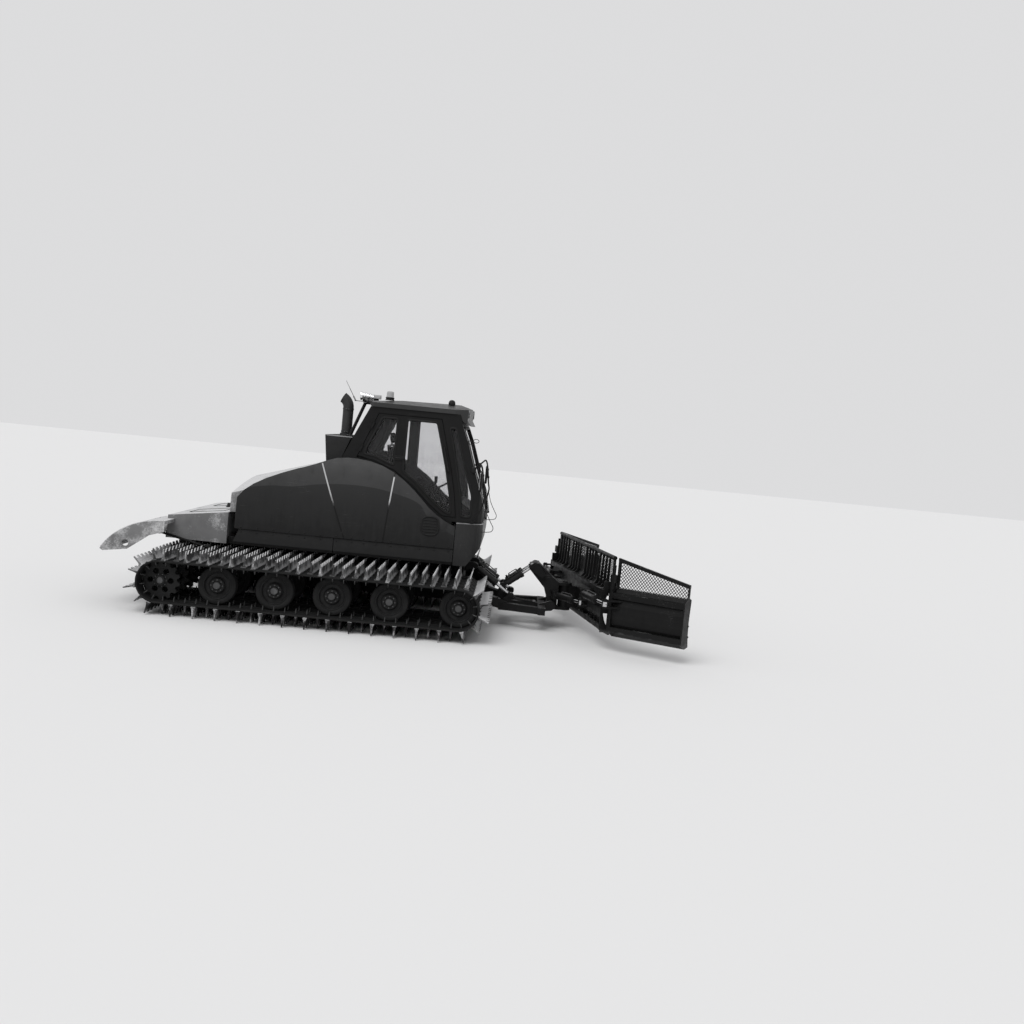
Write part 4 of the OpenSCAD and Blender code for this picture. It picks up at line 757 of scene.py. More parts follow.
def wheel_shapes():
    """Tyre and dish sections turned round the axle, from the inner face at y = 0 to the outer one."""
    r, w = WHEEL_R, WHEEL_W
    tyre = revolve([(0.176, 0.012), (0.192, 0.004), (r - 0.030, 0.001), (r - 0.012, 0.006),
                    (r - 0.002, 0.020), (r, 0.030), (r, 0.056), (r - 0.005, 0.060), (r - 0.005, 0.070),
                    (r, 0.074), (r, w - 0.030), (r - 0.002, w - 0.020), (r - 0.012, w - 0.006),
                    (r - 0.030, w - 0.001), (0.192, w - 0.004), (0.176, w - 0.012), (0.176, 0.012)], 56)
    half = [(0.048, 0.006), (0.056, 0.000), (0.088, 0.000), (0.094, 0.006), (0.098, 0.030), (0.112, 0.042),
            (0.150, 0.040), (0.160, 0.030), (0.164, 0.010), (0.170, 0.006), (0.178, 0.010), (0.178, 0.030)]
    dish = revolve(half + [(x, w - y) for x, y in half[::-1]], 56)
    cap = revolve([(0.050, 0), (0.050, 0.020), (0.040, 0.030), (0.016, 0.033), (0, 0.033)], 28)
    cap = moved(cap, (0, w - 0.002, 0))
    turns = np.arange(8) / 8 * 2 * math.pi
    heads = np.stack([NUT_CIRCLE * np.cos(turns), np.full(8, w), NUT_CIRCLE * np.sin(turns)], axis=1)
    nuts = repeated(bolt(0.011, 0.010), heads, frame_to((0, 1, 0)))
    holes = np.stack([HOLE_CIRCLE * np.cos(turns), np.full(8, w - 0.0405), HOLE_CIRCLE * np.sin(turns)],
                     axis=1)
    rim = revolve([(0.011, 0), (0.017, 0.0), (0.017, 0.004), (0.011, 0.004), (0.011, 0)], 14, "z")
    rims = repeated(rim, holes, frame_to((0, 1, 0)))
    return tyre, dish, merged([cap, nuts]), rims


def make_wheels():
    """Twin wheels on each axle, on both sides: the same four shapes at every place."""
    tyre, dish, fixings, rims = wheel_shapes()
    places = [(x, y, HUB_Z) for x in WHEEL_X for y in WHEEL_Y]

    def everywhere(shape):
        """The shape on every axle, on both sides."""
        return both_sides(repeated(shape, places, np.eye(3)))

    parts = [(everywhere(tyre), F["tyre"]), (everywhere(dish), F["cast"]), (everywhere(fixings), F["zinc"]),
             (everywhere(rims), F["cast"])]
    piece("wheels", parts, "machine", replaces=["road_wheels"], sharp=28)


def make_sprocket_hubs():
    """Final drive between the sprocket discs: a plain drum in each gap, and a bolted flange with a cap on the
    outer disc.
    """
    out = TRACK_OUT - 0.18
    drum = revolve([(0.046, 0), (0.085, 0.0), (0.092, 0.01), (0.092, 0.24), (0.085, 0.25), (0.046, 0.25),
                    (0.046, 0)], 40)
    flange = revolve([(0.046, 0), (0.086, 0), (0.088, 0.008), (0.070, 0.016), (0.066, 0.040), (0.050, 0.048),
                      (0.046, 0.048), (0.046, 0)], 40)
    cap = revolve([(0.044, 0), (0.044, 0.006), (0.034, 0.012), (0, 0.013)], 28)
    turns = np.arange(10) / 10 * 2 * math.pi
    places = np.stack([0.078 * np.cos(turns), np.full(10, 0.010), 0.078 * np.sin(turns)], axis=1)
    heads = repeated(bolt(0.008, 0.008), places, frame_to((0, 1, 0)))
    gaps = [TRACK_IN + 0.255, TRACK_IN + 0.555]
    drums = merged([moved(drum, (0, y + 0.001, HUB_Z)) for y in gaps])
    outer = TRACK_OUT - 0.21 + 0.0005
    parts = [(both_sides(drums), F["cast"]), (both_sides(moved(flange, (0, outer, HUB_Z))), F["cast"]),
             (both_sides(moved(cap, (0, out + 0.0005, HUB_Z))), F["zinc"]),
             (both_sides(moved(heads, (0, outer, HUB_Z))), F["zinc"])]
    piece("drive_hubs", parts, "machine")


def make_track_guides():
    """Bent rods inside the belts, a row on each side of each line of wheels, to keep the belts on them."""
    place, frames = bar_frames((np.arange(BARS) + 0.5) * PITCH)
    knots = [(0, -0.028, -BELT_T - 0.001), (0, -0.020, -BELT_T - 0.030), (0, -0.006, -BELT_T - 0.056),
             (0, 0.006, -BELT_T - 0.056), (0, 0.020, -BELT_T - 0.030), (0, 0.028, -BELT_T - 0.001)]
    hoop = pipe(smooth_path(knots, 11), 0.0055, 6, up=(1, 0, 0))
    rows = []
    for y in WHEEL_Y:
        rows += [y - 0.040, y + WHEEL_W + 0.040]
    guides = merged([repeated(moved(hoop, (0, y, 0)), place, frames) for y in rows])
    piece("track_guides", [(both_sides(guides), F["zinc"])], "machine")


make_wheels()
make_sprocket_hubs()
make_track_guides()


# Blade: its own frame has the swivel at the origin and the blade along Y

SWIVEL = PIVOTS["blade_turn"] - ORIGIN
WING_PIVOT = {1: PIVOTS["wing_fold_left"] - ORIGIN, -1: PIVOTS["wing_fold_right"] - ORIGIN}
SPAN = WING_PIVOT[1] - WING_PIVOT[-1]
BLADE_YAW = math.atan2(-SPAN[0], SPAN[1])
WING_FOLD = math.radians(50)


def yawed(angle):
    """Rows of the axes of a frame turned left by an angle."""
    return turn_about((0, 0, 1), angle)


def from_blade(shape):
    """A shape from the blade's frame, turned by the blade's angle about the swivel."""
    return moved(turned(shape, yawed(BLADE_YAW)), (SWIVEL[0], SWIVEL[1], 0))


def from_wing(shape, sign):
    """A shape in the left wing's frame, its hinge at the origin and the wing along +Y, put on either wing."""
    if sign < 0:
        shape = mirrored(shape)
    shape = turned(shape, yawed(BLADE_YAW - sign * WING_FOLD))
    return moved(shape, (WING_PIVOT[sign][0], WING_PIVOT[sign][1], 0))


def node_points(name):
    """A node's points from the sprockets' axis and the middle plane."""
    data = frame["nodes"][name].data.vertices
    points = np.empty(len(data) * 3, np.float32)
    data.foreach_get("co", points)
    return points.reshape(-1, 3) - ORIGIN


def clipped(starts, direction, corners):
    """Where lines from starts along a direction enter and leave a convex outline drawn anticlockwise."""
    edge = np.roll(corners, -1, axis=0) - corners
    normal = np.stack([edge[:, 1], -edge[:, 0]], axis=1)
    rate = normal @ direction
    away = np.einsum("ec,ec->e", normal, corners)[None] - starts @ normal.T
    reach = away / np.where(rate == 0, 1e-9, rate)[None]
    enter = np.where(rate[None] < 0, reach, -1e9).max(axis=1)
    leave = np.where(rate[None] > 0, reach, 1e9).min(axis=1)
    keep = leave > enter + 0.004
    return starts[keep] + enter[keep, None] * direction, starts[keep] + leave[keep, None] * direction


def expanded_mesh(corners, depth, cell=0.042, strand=0.0085, thick=0.0035):
    """Two layers of slanted strands, a cell apart, each a bar from where its line enters the outline on."""
    corners = np.asarray(corners, float)
    unit = block((1, 1, 1), 0.16, (0.5, 0, 0))
    lo, hi = corners.min(0), corners.max(0)
    shapes = []
    slope = 1.1
    for layer, sign in ((-1, 1), (1, -1)):
        direction = np.array([1.0, sign * slope])
        direction /= np.linalg.norm(direction)
        rise = (hi[1] - lo[1]) / slope
        first = np.arange(lo[0] - rise, hi[0] + rise, cell)
        starts = np.stack([first, np.full_like(first, (lo[1] + hi[1]) / 2)], axis=1)
        enter, leave = clipped(starts, direction, corners)
        along = leave - enter
        length = np.linalg.norm(along, axis=1)
        count = len(length)
        frames = np.zeros((count, 3, 3))
        frames[:, 0, 1:] = along
        frames[:, 1] = np.array([0, -direction[1], direction[0]]) * strand
        frames[:, 2] = np.array([1.0, 0, 0]) * thick
        origins = np.concatenate([np.full((count, 1), depth + layer * thick * 0.42), enter], axis=1)
        shapes.append(repeated(unit, origins, frames))
    return merged(shapes)


def grille_corners(points):
    """The outline of a grille in its own frame, from its solid's points: level below and sloped above."""
    y, z = points[:, 1], points[:, 2]
    near, far = y < y.min() + 0.02, y > y.max() - 0.02
    inner = 0.004
    return [(y.min() + inner, z.min() + inner), (y.max() - inner, z.min() + inner),
            (y.max() - inner, z[far].max() - inner), (y.min() + inner, z[near].max() - inner)]


def edging(corners, depth, width=0.010, thick=0.007):
    """Four flat bars along the outline's edges."""
    ring = np.array([(depth, y, z) for y, z in corners])
    t, w = thick / 2, width / 2
    section = np.array([(-t, -w), (t, -w), (t, w), (-t, w)])
    bars = [sweep(np.linspace(ring[i], ring[(i + 1) % 4], 2), section, up=(1, 0, 0)) for i in range(4)]
    return merged(bars)


def make_grilles():
    """Each grille's outline is read in the frame of its blade or wing, filled there and put back."""
    local = (node_points("blade_grille") - [SWIVEL[0], SWIVEL[1], 0]) @ yawed(BLADE_YAW).T
    corners, depth = grille_corners(local), (local[:, 0].min() + local[:, 0].max()) / 2
    shape = merged([expanded_mesh(corners, depth), edging(corners, depth)])
    piece("blade_mesh", [(from_blade(shape), F["blade"])], "blade", replaces=["blade_grille"], sharp=50)
    for sign, side in ((1, "left"), (-1, "right")):
        local = node_points(f"wing_grille_{side}") - [WING_PIVOT[sign][0], WING_PIVOT[sign][1], 0]
        local = local @ yawed(BLADE_YAW - sign * WING_FOLD).T * [1, sign, 1]
        corners, depth = grille_corners(local), (local[:, 0].min() + local[:, 0].max()) / 2
        shape = merged([expanded_mesh(corners, depth), edging(corners, depth)])
        piece(f"wing_mesh_{side}", [(from_wing(shape, sign), F["blade"])], f"wing_{side}",
              replaces=[f"wing_grille_{side}"], sharp=50)


make_grilles()


# Cab: window rubbers, handles, wipers and mirrors. The cab's sides lean in as they rise

CAB_TAPER, CAB_RISE = 0.135, 1.718
LEAN = CAB_TAPER / CAB_RISE
CAB_OUT = 1.085
CAB_WALL = 0.045
LEAN_FROM = 1.150
# Height and X along the cab's front and rear
CAB_FRONT = np.array([(1.446, 3.972), (1.500, 3.985), (1.800, 3.925), (2.148, 3.800), (2.480, 3.690),
                      (2.720, 3.590), (2.868, 3.545)])
CAB_REAR = np.array([(2.120, 2.010), (2.534, 2.190), (2.868, 2.345)])


def side_y(z):
    """Half width of the cab's side at a height: it falls in proportion to the height over LEAN_FROM."""
    return CAB_OUT - LEAN * (np.asarray(z, float) - LEAN_FROM)


def front_x(z):
    """X of the cab's front at a height, along its outline."""
    return np.interp(z, CAB_FRONT[:, 0], CAB_FRONT[:, 1])


def rear_x(z):
    """X of the cab's rear at a height, along its outline."""
    return np.interp(z, CAB_REAR[:, 0], CAB_REAR[:, 1])


def side_frame():
    """Rows: backwards along the side, up it, and out of it."""
    up = np.array([0, -LEAN, 1]) / math.hypot(1, LEAN)
    return np.array([[-1.0, 0, 0], up, [0, up[2], LEAN / math.hypot(1, LEAN)]])


def on_side(shape, x, z, out=0.0):
    """A flat shape laid on the leaning side, its third axis outwards."""
    return repeated(shape, [np.array([x, side_y(z), z]) + side_frame()[2] * out], side_frame())


def rounded(corners, radius, steps=5):
    """A closed outline with each corner a quadratic curve that starts and ends a radius away from it."""
    p = np.asarray(corners, float)
    before, after = np.roll(p, 1, axis=0) - p, np.roll(p, -1, axis=0) - p
    far = [np.linalg.norm(v, axis=1, keepdims=True) for v in (before, after)]
    start, end = p + before * np.minimum(radius / far[0], 0.45), p + after * np.minimum(radius / far[1], 0.45)
    t = np.linspace(0, 1, steps)[None, :, None]
    curve = (1 - t) ** 2 * start[:, None] + 2 * t * (1 - t) * p[:, None] + t ** 2 * end[:, None]
    return curve.reshape(-1, p.shape[1])


def filled(outline, count):
    """More points along a closed outline: its corners, and count places spread evenly over its length."""
    p = np.asarray(outline, float)
    p = np.concatenate([p, p[:1]])
    s = np.concatenate([[0], np.cumsum(np.linalg.norm(np.diff(p, axis=0), axis=1))])
    u = np.sort(np.unique(np.concatenate([s, np.linspace(0, s[-1], count)])))
    u = u[np.concatenate([[True], np.diff(u) > 1e-4])][:-1]
    return np.stack([np.interp(u, s, p[:, k]) for k in range(p.shape[1])], axis=1)


# Sections of the window rubber and the door seal, and outlines of door and panes as X and Z
RUBBER = np.array([(-0.014, -0.004), (0.014, -0.004), (0.015, 0.001), (0.010, 0.006), (0.003, 0.0075),
                   (0.0, 0.0065), (-0.003, 0.0075), (-0.010, 0.006), (-0.015, 0.001)])
SEAL = np.array([(-0.024, -0.006), (-0.010, -0.012), (0.010, -0.012), (0.024, -0.006), (0.024, -0.001),
                 (-0.024, -0.001)])
DOOR_EDGE = [(2.225, 2.182), (2.440, 2.160), (2.740, 2.050), (3.000, 1.870), (3.240, 1.645), (3.420, 1.514),
             (3.600, 1.506), (3.560, 1.800), (3.480, 2.148), (3.380, 2.500), (3.300, 2.780), (2.465, 2.780)]
REAR_PANE = [(2.300, 2.235), (2.450, 2.215), (2.720, 2.110), (2.720, 2.735), (2.515, 2.735)]
FRONT_PANE = [(2.850, 2.040), (3.030, 1.920), (3.260, 1.710), (3.430, 1.575), (3.535, 1.530), (3.500, 1.790),
              (3.420, 2.140), (3.325, 2.480), (3.250, 2.735), (2.850, 2.735)]
CORNER_PANE = [(3.670, 1.520), (3.800, 1.520), (3.800, 1.800), (3.700, 2.080), (3.590, 2.420), (3.510, 2.680),
               (3.420, 2.680), (3.480, 2.480), (3.560, 2.150), (3.640, 1.800)]


def side_rubber(outline, radius=0.035):
    """The rubber's section carried round a window of the leaning side."""
    ring = rounded(outline, radius)
    path = np.stack([ring[:, 0], side_y(ring[:, 1]) + 0.001, ring[:, 1]], axis=1)
    return sweep(path, RUBBER, up=side_frame()[2], closed=True)


def door_seal():
    """A flat bulb of rubber carried along the door's edge, on the inner face of the wall, over the gap."""
    ring = rounded(DOOR_EDGE, 0.04)
    path = np.stack([ring[:, 0], side_y(ring[:, 1]) - CAB_WALL, ring[:, 1]], axis=1)
    return sweep(path, SEAL, up=side_frame()[2], closed=True)


def screen_rubber(half, low_z, high_z, place_x, up):
    """The rubber round a window across the machine, whose X follows from its height."""
    ring = filled(rounded([(-half, low_z), (half, low_z), (half, high_z), (-half, high_z)], 0.04), 60)
    path = np.stack([place_x(ring[:, 1]), ring[:, 0], ring[:, 1]], axis=1)
    return sweep(path, RUBBER * 1.15, up=up, closed=True)


def door_handle():
    """A cupped plate with a raised edge and a lever bridging it, drawn flat with the third axis outwards."""
    ring = rounded([(-0.068, -0.028), (0.068, -0.028), (0.068, 0.028), (-0.068, 0.028)], 0.02)
    bead = sweep(np.c_[ring, np.full(len(ring), 0.009)], circle(0.0035, 6), closed=True)
    cup = merged([block((0.150, 0.070, 0.008), 0.003, (0, 0, 0.004)), bead])
    knots = [(-0.052, 0, 0.008), (-0.046, 0, 0.026), (-0.02, 0, 0.032), (0.03, 0, 0.032), (0.052, 0, 0.022)]
    lever = pipe(smooth_path(knots, 16), 0.0085, 8, up=(0, 1, 0))
    key = revolve([(0.010, 0.008), (0.010, 0.012), (0.006, 0.0125), (0, 0.0125)], 14, "z")
    return cup, merged([lever, moved(key, (0.062, 0, 0))])


def wiper(y0, y1, reach):
    """An arm from its spindle on the scuttle up the windscreen, with a six-sided blade along its end."""
    z = np.linspace(1.50, 1.50 + reach, 18)
    share = (z - z[0]) / reach
    arm = np.stack([front_x(z) + 0.022 + 0.006 * np.sin(share * math.pi), y0 + (y1 - y0) * share, z], axis=1)
    blade_z = np.linspace(z[-1] - 0.34, min(z[-1] + 0.30, 2.64), 24)
    blade = np.stack([front_x(blade_z) + 0.011, np.full(24, y1), blade_z], axis=1)
    spindle = revolve([(0.020, 0), (0.020, 0.012), (0.014, 0.018), (0.014, 0.030), (0, 0.032)], 20, "x")
    spindle = moved(spindle, (front_x(1.5) - 0.002, y0, 1.5))
    section = np.array([(-0.004, -0.010), (0.004, -0.010), (0.008, 0.004), (0.003, 0.010), (-0.003, 0.010),
                        (-0.008, 0.004)])
    flat = circle(1.0, 8) * [0.009, 0.005]
    return merged([sweep(arm, flat, up=(1, 0, 0)), sweep(blade, section, up=(1, 0, 0)), spindle])


def superbox(half, power=5.0, rows=20, columns=40):
    """A rounded box: each coordinate is the half size times a sine or cosine raised to 2 / power."""
    def bent(v):
        """The size of v raised to 2 / power, with the sign of v."""
        return np.sign(v) * np.abs(v) ** (2 / power)

    lat = np.linspace(-math.pi / 2, math.pi / 2, rows)[1:-1, None]
    lon = (np.arange(columns) / columns * 2 * math.pi)[None]
    x, y = bent(np.cos(lat)) * bent(np.cos(lon)), bent(np.cos(lat)) * bent(np.sin(lon))
    z = np.broadcast_to(bent(np.sin(lat)), x.shape)
    points = np.stack([x, y, z], axis=2).reshape(-1, 3)
    faces = grid_faces(rows - 2, columns, False, True)
    ring, last = np.arange(columns), (rows - 3) * columns + np.arange(columns)
    after, after_last = np.roll(ring, -1), np.roll(last, -1)
    start, end = len(points), len(points) + 1
    points = np.concatenate([points, [[0, 0, -1.0], [0, 0, 1.0]]])
    caps = np.concatenate([np.stack([after, ring, np.full(columns, start)], axis=1),
                           np.stack([last, after_last, np.full(columns, end)], axis=1)])
    return points * np.asarray(half), [faces, caps]


def make_cab_fittings():
    """Rubbers and seals round doors and windows, handles and wipers."""
    doors = merged([side_rubber(REAR_PANE), side_rubber(FRONT_PANE)])
    plate, lever = (on_side(s, 2.785, 2.215) for s in door_handle())
    reach = [(-0.16, 0), (-0.155, 0.035), (-0.12, 0.045), (0.12, 0.045), (0.155, 0.035), (0.16, 0)]
    pull = pipe(smooth_path([(0.284 * v, v, h) for v, h in reach], 22), 0.011, 8, up=(1, 0, 0))
    pull = on_side(pull, 3.415, 2.25)
    for side, place in (("left", lambda s: s), ("right", mirrored)):
        piece(f"door_rubbers_{side}", [(place(doors), F["seal"])], f"door_{side}")
        handle = [(place(shape), F["trim"]) for shape in (plate, lever, pull)]
        piece(f"door_handle_{side}", handle, f"door_{side}")
    half = CAB_OUT - CAB_TAPER
    front = screen_rubber(half - 0.160, 1.520, 2.690, lambda z: front_x(z) + 0.001, (1, 0, 0.35))
    rear = screen_rubber(half - 0.250, 2.470, 2.800, lambda z: rear_x(z) - 0.001, (-1, 0, 0.44))
    piece("door_seals", [(both_sides(door_seal()), F["seal"])], "machine")
    rubbers = [(shape, F["seal"]) for shape in (both_sides(side_rubber(CORNER_PANE)), front, rear)]
    piece("cab_rubbers", rubbers, "machine")
    piece("wipers", [(merged([wiper(0.62, 0.30, 0.72), wiper(-0.62, -0.30, 0.72)]), F["trim"])], "machine")


def make_mirrors():
    """A bent tube a side from the pillar to a foot on the nose, a shell with its glass, and loops of wire."""
    knots = [(3.786, 1.018, 2.150), (3.845, 1.085, 2.212), (3.884, 1.148, 2.232), (3.916, 1.160, 2.140),
             (3.950, 1.162, 1.900), (3.966, 1.160, 1.790), (3.925, 1.128, 1.620), (3.834, 1.092, 1.462)]
    tube = pipe(smooth_path(knots, 60), 0.0115, 10, up=(0, 1, 0))
    foot = revolve([(0.030, 0), (0.030, 0.008), (0.018, 0.014), (0.016, 0.030), (0, 0.031)], 20, "z")
    foot = moved(foot, (3.830, 1.090, 1.4463))
    places = [(3.830 + 0.023 * c, 1.090 + 0.023 * s, 1.4543) for c, s in ((1, 0), (-1, 0), (0, 1), (0, -1))]
    bolts = repeated(bolt(0.005, 0.004), places, np.eye(3))
    knuckle = moved(superbox((0.030, 0.030, 0.042)), (3.790, 1.022, 2.152))
    shell = moved(superbox((0.017, 0.082, 0.138), 6), (3.907, 1.205, 2.020))
    glass = moved(superbox((0.002, 0.070, 0.122), 7), (3.8895, 1.205, 2.020))
    clamp = revolve([(0.0118, -0.016), (0.019, -0.014), (0.019, 0.014), (0.0118, 0.016)], 14, "z")
    clamps = merged([moved(clamp, p) for p in ((3.921, 1.160, 2.100), (3.938, 1.161, 1.985))])
    stalk = pipe([(3.921, 1.160, 2.10), (3.910, 1.175, 2.10)], 0.010, 8)
    parts = [(both_sides(merged([tube, knuckle, shell, clamps, stalk])), F["trim"]),
             (both_sides(merged([foot, bolts])), F["trim"]), (both_sides(glass), F["mirror"])]
    piece("mirror_sets", parts, "machine", replaces=["mirrors"])
    knots = [(3.968, 1.160, 1.760), (4.010, 1.150, 1.620), (4.072, 1.135, 1.500), (4.116, 1.120, 1.420),
             (4.098, 1.110, 1.368), (4.040, 1.100, 1.352), (3.968, 1.080, 1.345)]
    loop = pipe(smooth_path(knots, 40), 0.0045, 8, up=(0, 1, 0))
    turn = np.linspace(0, 2 * math.pi, 26)
    eye = np.stack([3.716 + 0.040 * np.cos(turn), np.full(26, 0.945), 2.512 + 0.028 * np.sin(turn)],
                   axis=1)[:-1]
    ring = sweep(eye, circle(0.0045, 8), up=(0, 1, 0), closed=True)
    stem = pipe([(3.660, 0.945, 2.520), (3.680, 0.945, 2.516)], 0.006, 8, up=(0, 1, 0))
    piece("wire_loops", [(both_sides(merged([loop, ring, stem])), F["trim"])], "machine")


make_cab_fittings()
make_mirrors()


# Bodywork: seam mouldings, vents, latches, lids, rims and fixings

# Radius of the side panels' arc, their widest half width and its height
FLANK_R, BODY_OUT, FLANK_Z = 2.600, 1.260, 1.150
# Rear end of the sloped deck, its height there and its slope, and the foot of its filler cap
DECK_REAR, DECK_Z, DECK_SLOPE = -0.152, 1.195, (1.302 - 1.195) / 0.788
CAP_Z = DECK_Z + 0.1358 * (0.36 - DECK_REAR)


def flank_y(z):
    """Half width of the side panels: a circle arc about a point far on the other side."""
    return BODY_OUT - FLANK_R + np.sqrt(FLANK_R ** 2 - (np.asarray(z, float) - FLANK_Z) ** 2)


def seam_moulding(top, foot, z0, z1):
    """A strip over a panel seam: X runs straight from top to foot, and Y follows the flank's curve."""
    z = np.linspace(z0, z1, 24)
    x = top[0] + (foot[0] - top[0]) * (top[1] - z) / (top[1] - foot[1])
    path = np.stack([x, flank_y(z), z], axis=1)
    section = np.array([(-0.010, -0.003), (0.010, -0.003), (0.009, 0.002), (0.004, 0.0042), (-0.004, 0.0042),
                        (-0.009, 0.002)])
    return sweep(path, section, up=(0, 1, 0.25))


def flank_patch(x, z, out, half_x, half_z, power=3.0):
    """A rounded plate on the side panel: rings of a superellipse, each point put on the flank's curve."""
    ring = np.linspace(0.02, 1, 8)[:, None]
    turn = (np.arange(40) / 40 * 2 * math.pi)[None]
    c, s = np.cos(turn), np.sin(turn)
    px = x + half_x * ring * np.sign(c) * np.abs(c) ** (2 / power)
    pz = z + half_z * ring * np.sign(s) * np.abs(s) ** (2 / power)
    rings = np.stack([px, flank_y(pz) + out, pz], axis=2)
    back = rings[-1:] - [0, 0.005, 0]
    first, last = np.arange(40), np.arange(320, 360)
    fan = np.stack([np.full(40, 360), first, np.roll(first, -1)], axis=1)
    rear = np.stack([np.full(40, 361), np.roll(last, -1), last], axis=1)
    points = np.concatenate([rings.reshape(-1, 3), back[0], rings[0].mean(0)[None], back[0].mean(0)[None]])
    return (points, [grid_faces(9, 40, False, True), fan, rear]), rings[-1]


def make_side_trim():
    """Seam mouldings, the round vent with its bars, and rows of round-headed fixings."""
    seams = merged([seam_moulding((1.730, 2.200), (2.220, 1.000), 1.105, 2.055),
                    seam_moulding((2.775, 2.200), (2.680, 1.000), 1.105, 1.965)])
    plate, edge = flank_patch(3.290, 1.375, 0.001, 0.115, 0.120)
    rim = sweep(edge + [0, 0.002, 0], circle(0.010, 10), up=(0, 1, 0.1), closed=True)
    x = np.linspace(3.200, 3.380, 8)
    lines = [np.stack([x, np.full(8, flank_y(1.375 + dz) + 0.003), np.full(8, 1.375 + dz)], axis=1)
             for dz in np.linspace(-0.075, 0.075, 5)]
    bars = merged([sweep(line, circle(0.006, 8), up=(0, 1, 0)) for line in lines])
    # The seam mouldings are light grey above: painted highlight of the panel edges along the seams
    parts = [(both_sides(seams), F["seam_highlight"]), (both_sides(plate), F["seal"]),
             (both_sides(merged([rim, bars])), F["trim"])]
    piece("side_trim", parts, "machine")
    # Round-headed fixings along the panels' lower edge and the sills
    x = np.concatenate([np.arange(0.82, 2.10, 0.21), np.arange(2.28, 2.62, 0.16),
                        np.arange(2.80, 3.56, 0.19)])
    button = revolve([(0.011, 0), (0.0105, 0.003), (0.007, 0.0055), (0, 0.0062)], 12, "z")
    out = np.array([[-1.0, 0, 0], [0, 0, 1.0], [0, 1.0, 0]])
    places = np.stack([x, flank_y(1.125) + 0 * x, np.full_like(x, 1.125)], axis=1)
    lower = np.stack([x, np.full_like(x, BODY_OUT - 0.022), np.full_like(x, 1.060)], axis=1)
    buttons = repeated(button, np.concatenate([places, lower]), out)
    piece("panel_fixings", [(both_sides(buttons), F["trim"])], "machine")


def latch():
    """A rubber over-centre latch: its strap from a foot above to a T handle below, third axis outwards."""
    path = [(0, -0.050, 0.010), (0, -0.020, 0.014), (0, 0.030, 0.012), (0, 0.050, 0.008)]
    strap = sweep(path, circle(1, 10) * [0.012, 0.006], up=(0, 0, 1))
    bar = pipe([(-0.026, -0.054, 0.012), (0.026, -0.054, 0.012)], 0.008, 8)
    foot = block((0.046, 0.030, 0.008), 0.002, (0, 0.052, 0.004))
    return merged([strap, bar, foot])


def make_body_fittings():
    """Latches and grip of the hood, lids and filler cap of the deck, rim of the intake box."""
    rearwards = np.array([[0, -1.0, 0], [0, 0, 1.0], [-1.0, 0, 0]])
    latches = repeated(latch(), [(0.6395, 0.55, 1.37), (0.6395, -0.55, 1.37)], rearwards)
    knots = [(0.640, -0.10, 1.46), (0.606, -0.095, 1.462), (0.602, -0.06, 1.462), (0.602, 0.06, 1.462),
             (0.606, 0.095, 1.462), (0.640, 0.10, 1.46)]
    grip = pipe(smooth_path(knots, 24), 0.010, 10)
    piece("hood_fittings", [(latches, F["trim"]), (grip, F["trim"])], "hood")
    lids = []
    section = [(-0.006, -0.004), (0.006, -0.004), (0.004, 0.003), (-0.004, 0.003)]
    for y in (-0.62, 0.62):
        ring = rounded([(0.02, y - 0.26), (0.50, y - 0.26), (0.50, y + 0.26), (0.02, y + 0.26)], 0.05)
        path = np.c_[ring, DECK_Z + DECK_SLOPE * (ring[:, 0] - DECK_REAR) + 0.002]
        lids.append(sweep(path, section, up=(-DECK_SLOPE, 0, 1), closed=True))
    cap = revolve([(0.062, -0.004), (0.062, 0.012), (0.052, 0.020), (0.050, 0.034), (0.044, 0.040),
                   (0, 0.042)], 28, "z")
    cap = moved(cap, (0.36, 0.0, CAP_Z))
    rib = block((0.090, 0.014, 0.014), 0.003, (0.36, 0.0, CAP_Z + 0.047))
    piece("deck_lids", [(merged(lids), F["seal"]), (merged([cap, rib]), F["trim"])], "machine")
    # Folded rim along the intake box's upper edge
    edge = [(2.110, -0.797), (1.775, -0.797), (1.754, -0.790), (1.748, -0.770), (1.748, 0.770),
            (1.754, 0.790), (1.775, 0.797), (2.110, 0.797)]
    section = [(-0.007, -0.010), (0.007, -0.010), (0.007, 0.004), (-0.007, 0.004)]
    rim = sweep(np.c_[edge, np.full(8, 2.432)], section)
    piece("intake_rim", [(rim, F["shell"])], "machine")


def fender_top(t):
    """The fender's upper outline in X and Z: a cubic curve from the deck to its rear tip."""
    a, b, c, d = (np.array(p) for p in ((-0.060, 1.150), (-0.380, 1.150), (-0.700, 1.010), (-0.868, 0.730)))
    t = np.asarray(t, float)[:, None]
    return (1 - t) ** 3 * a + 3 * (1 - t) ** 2 * t * b + 3 * (1 - t) * t ** 2 * c + t ** 3 * d


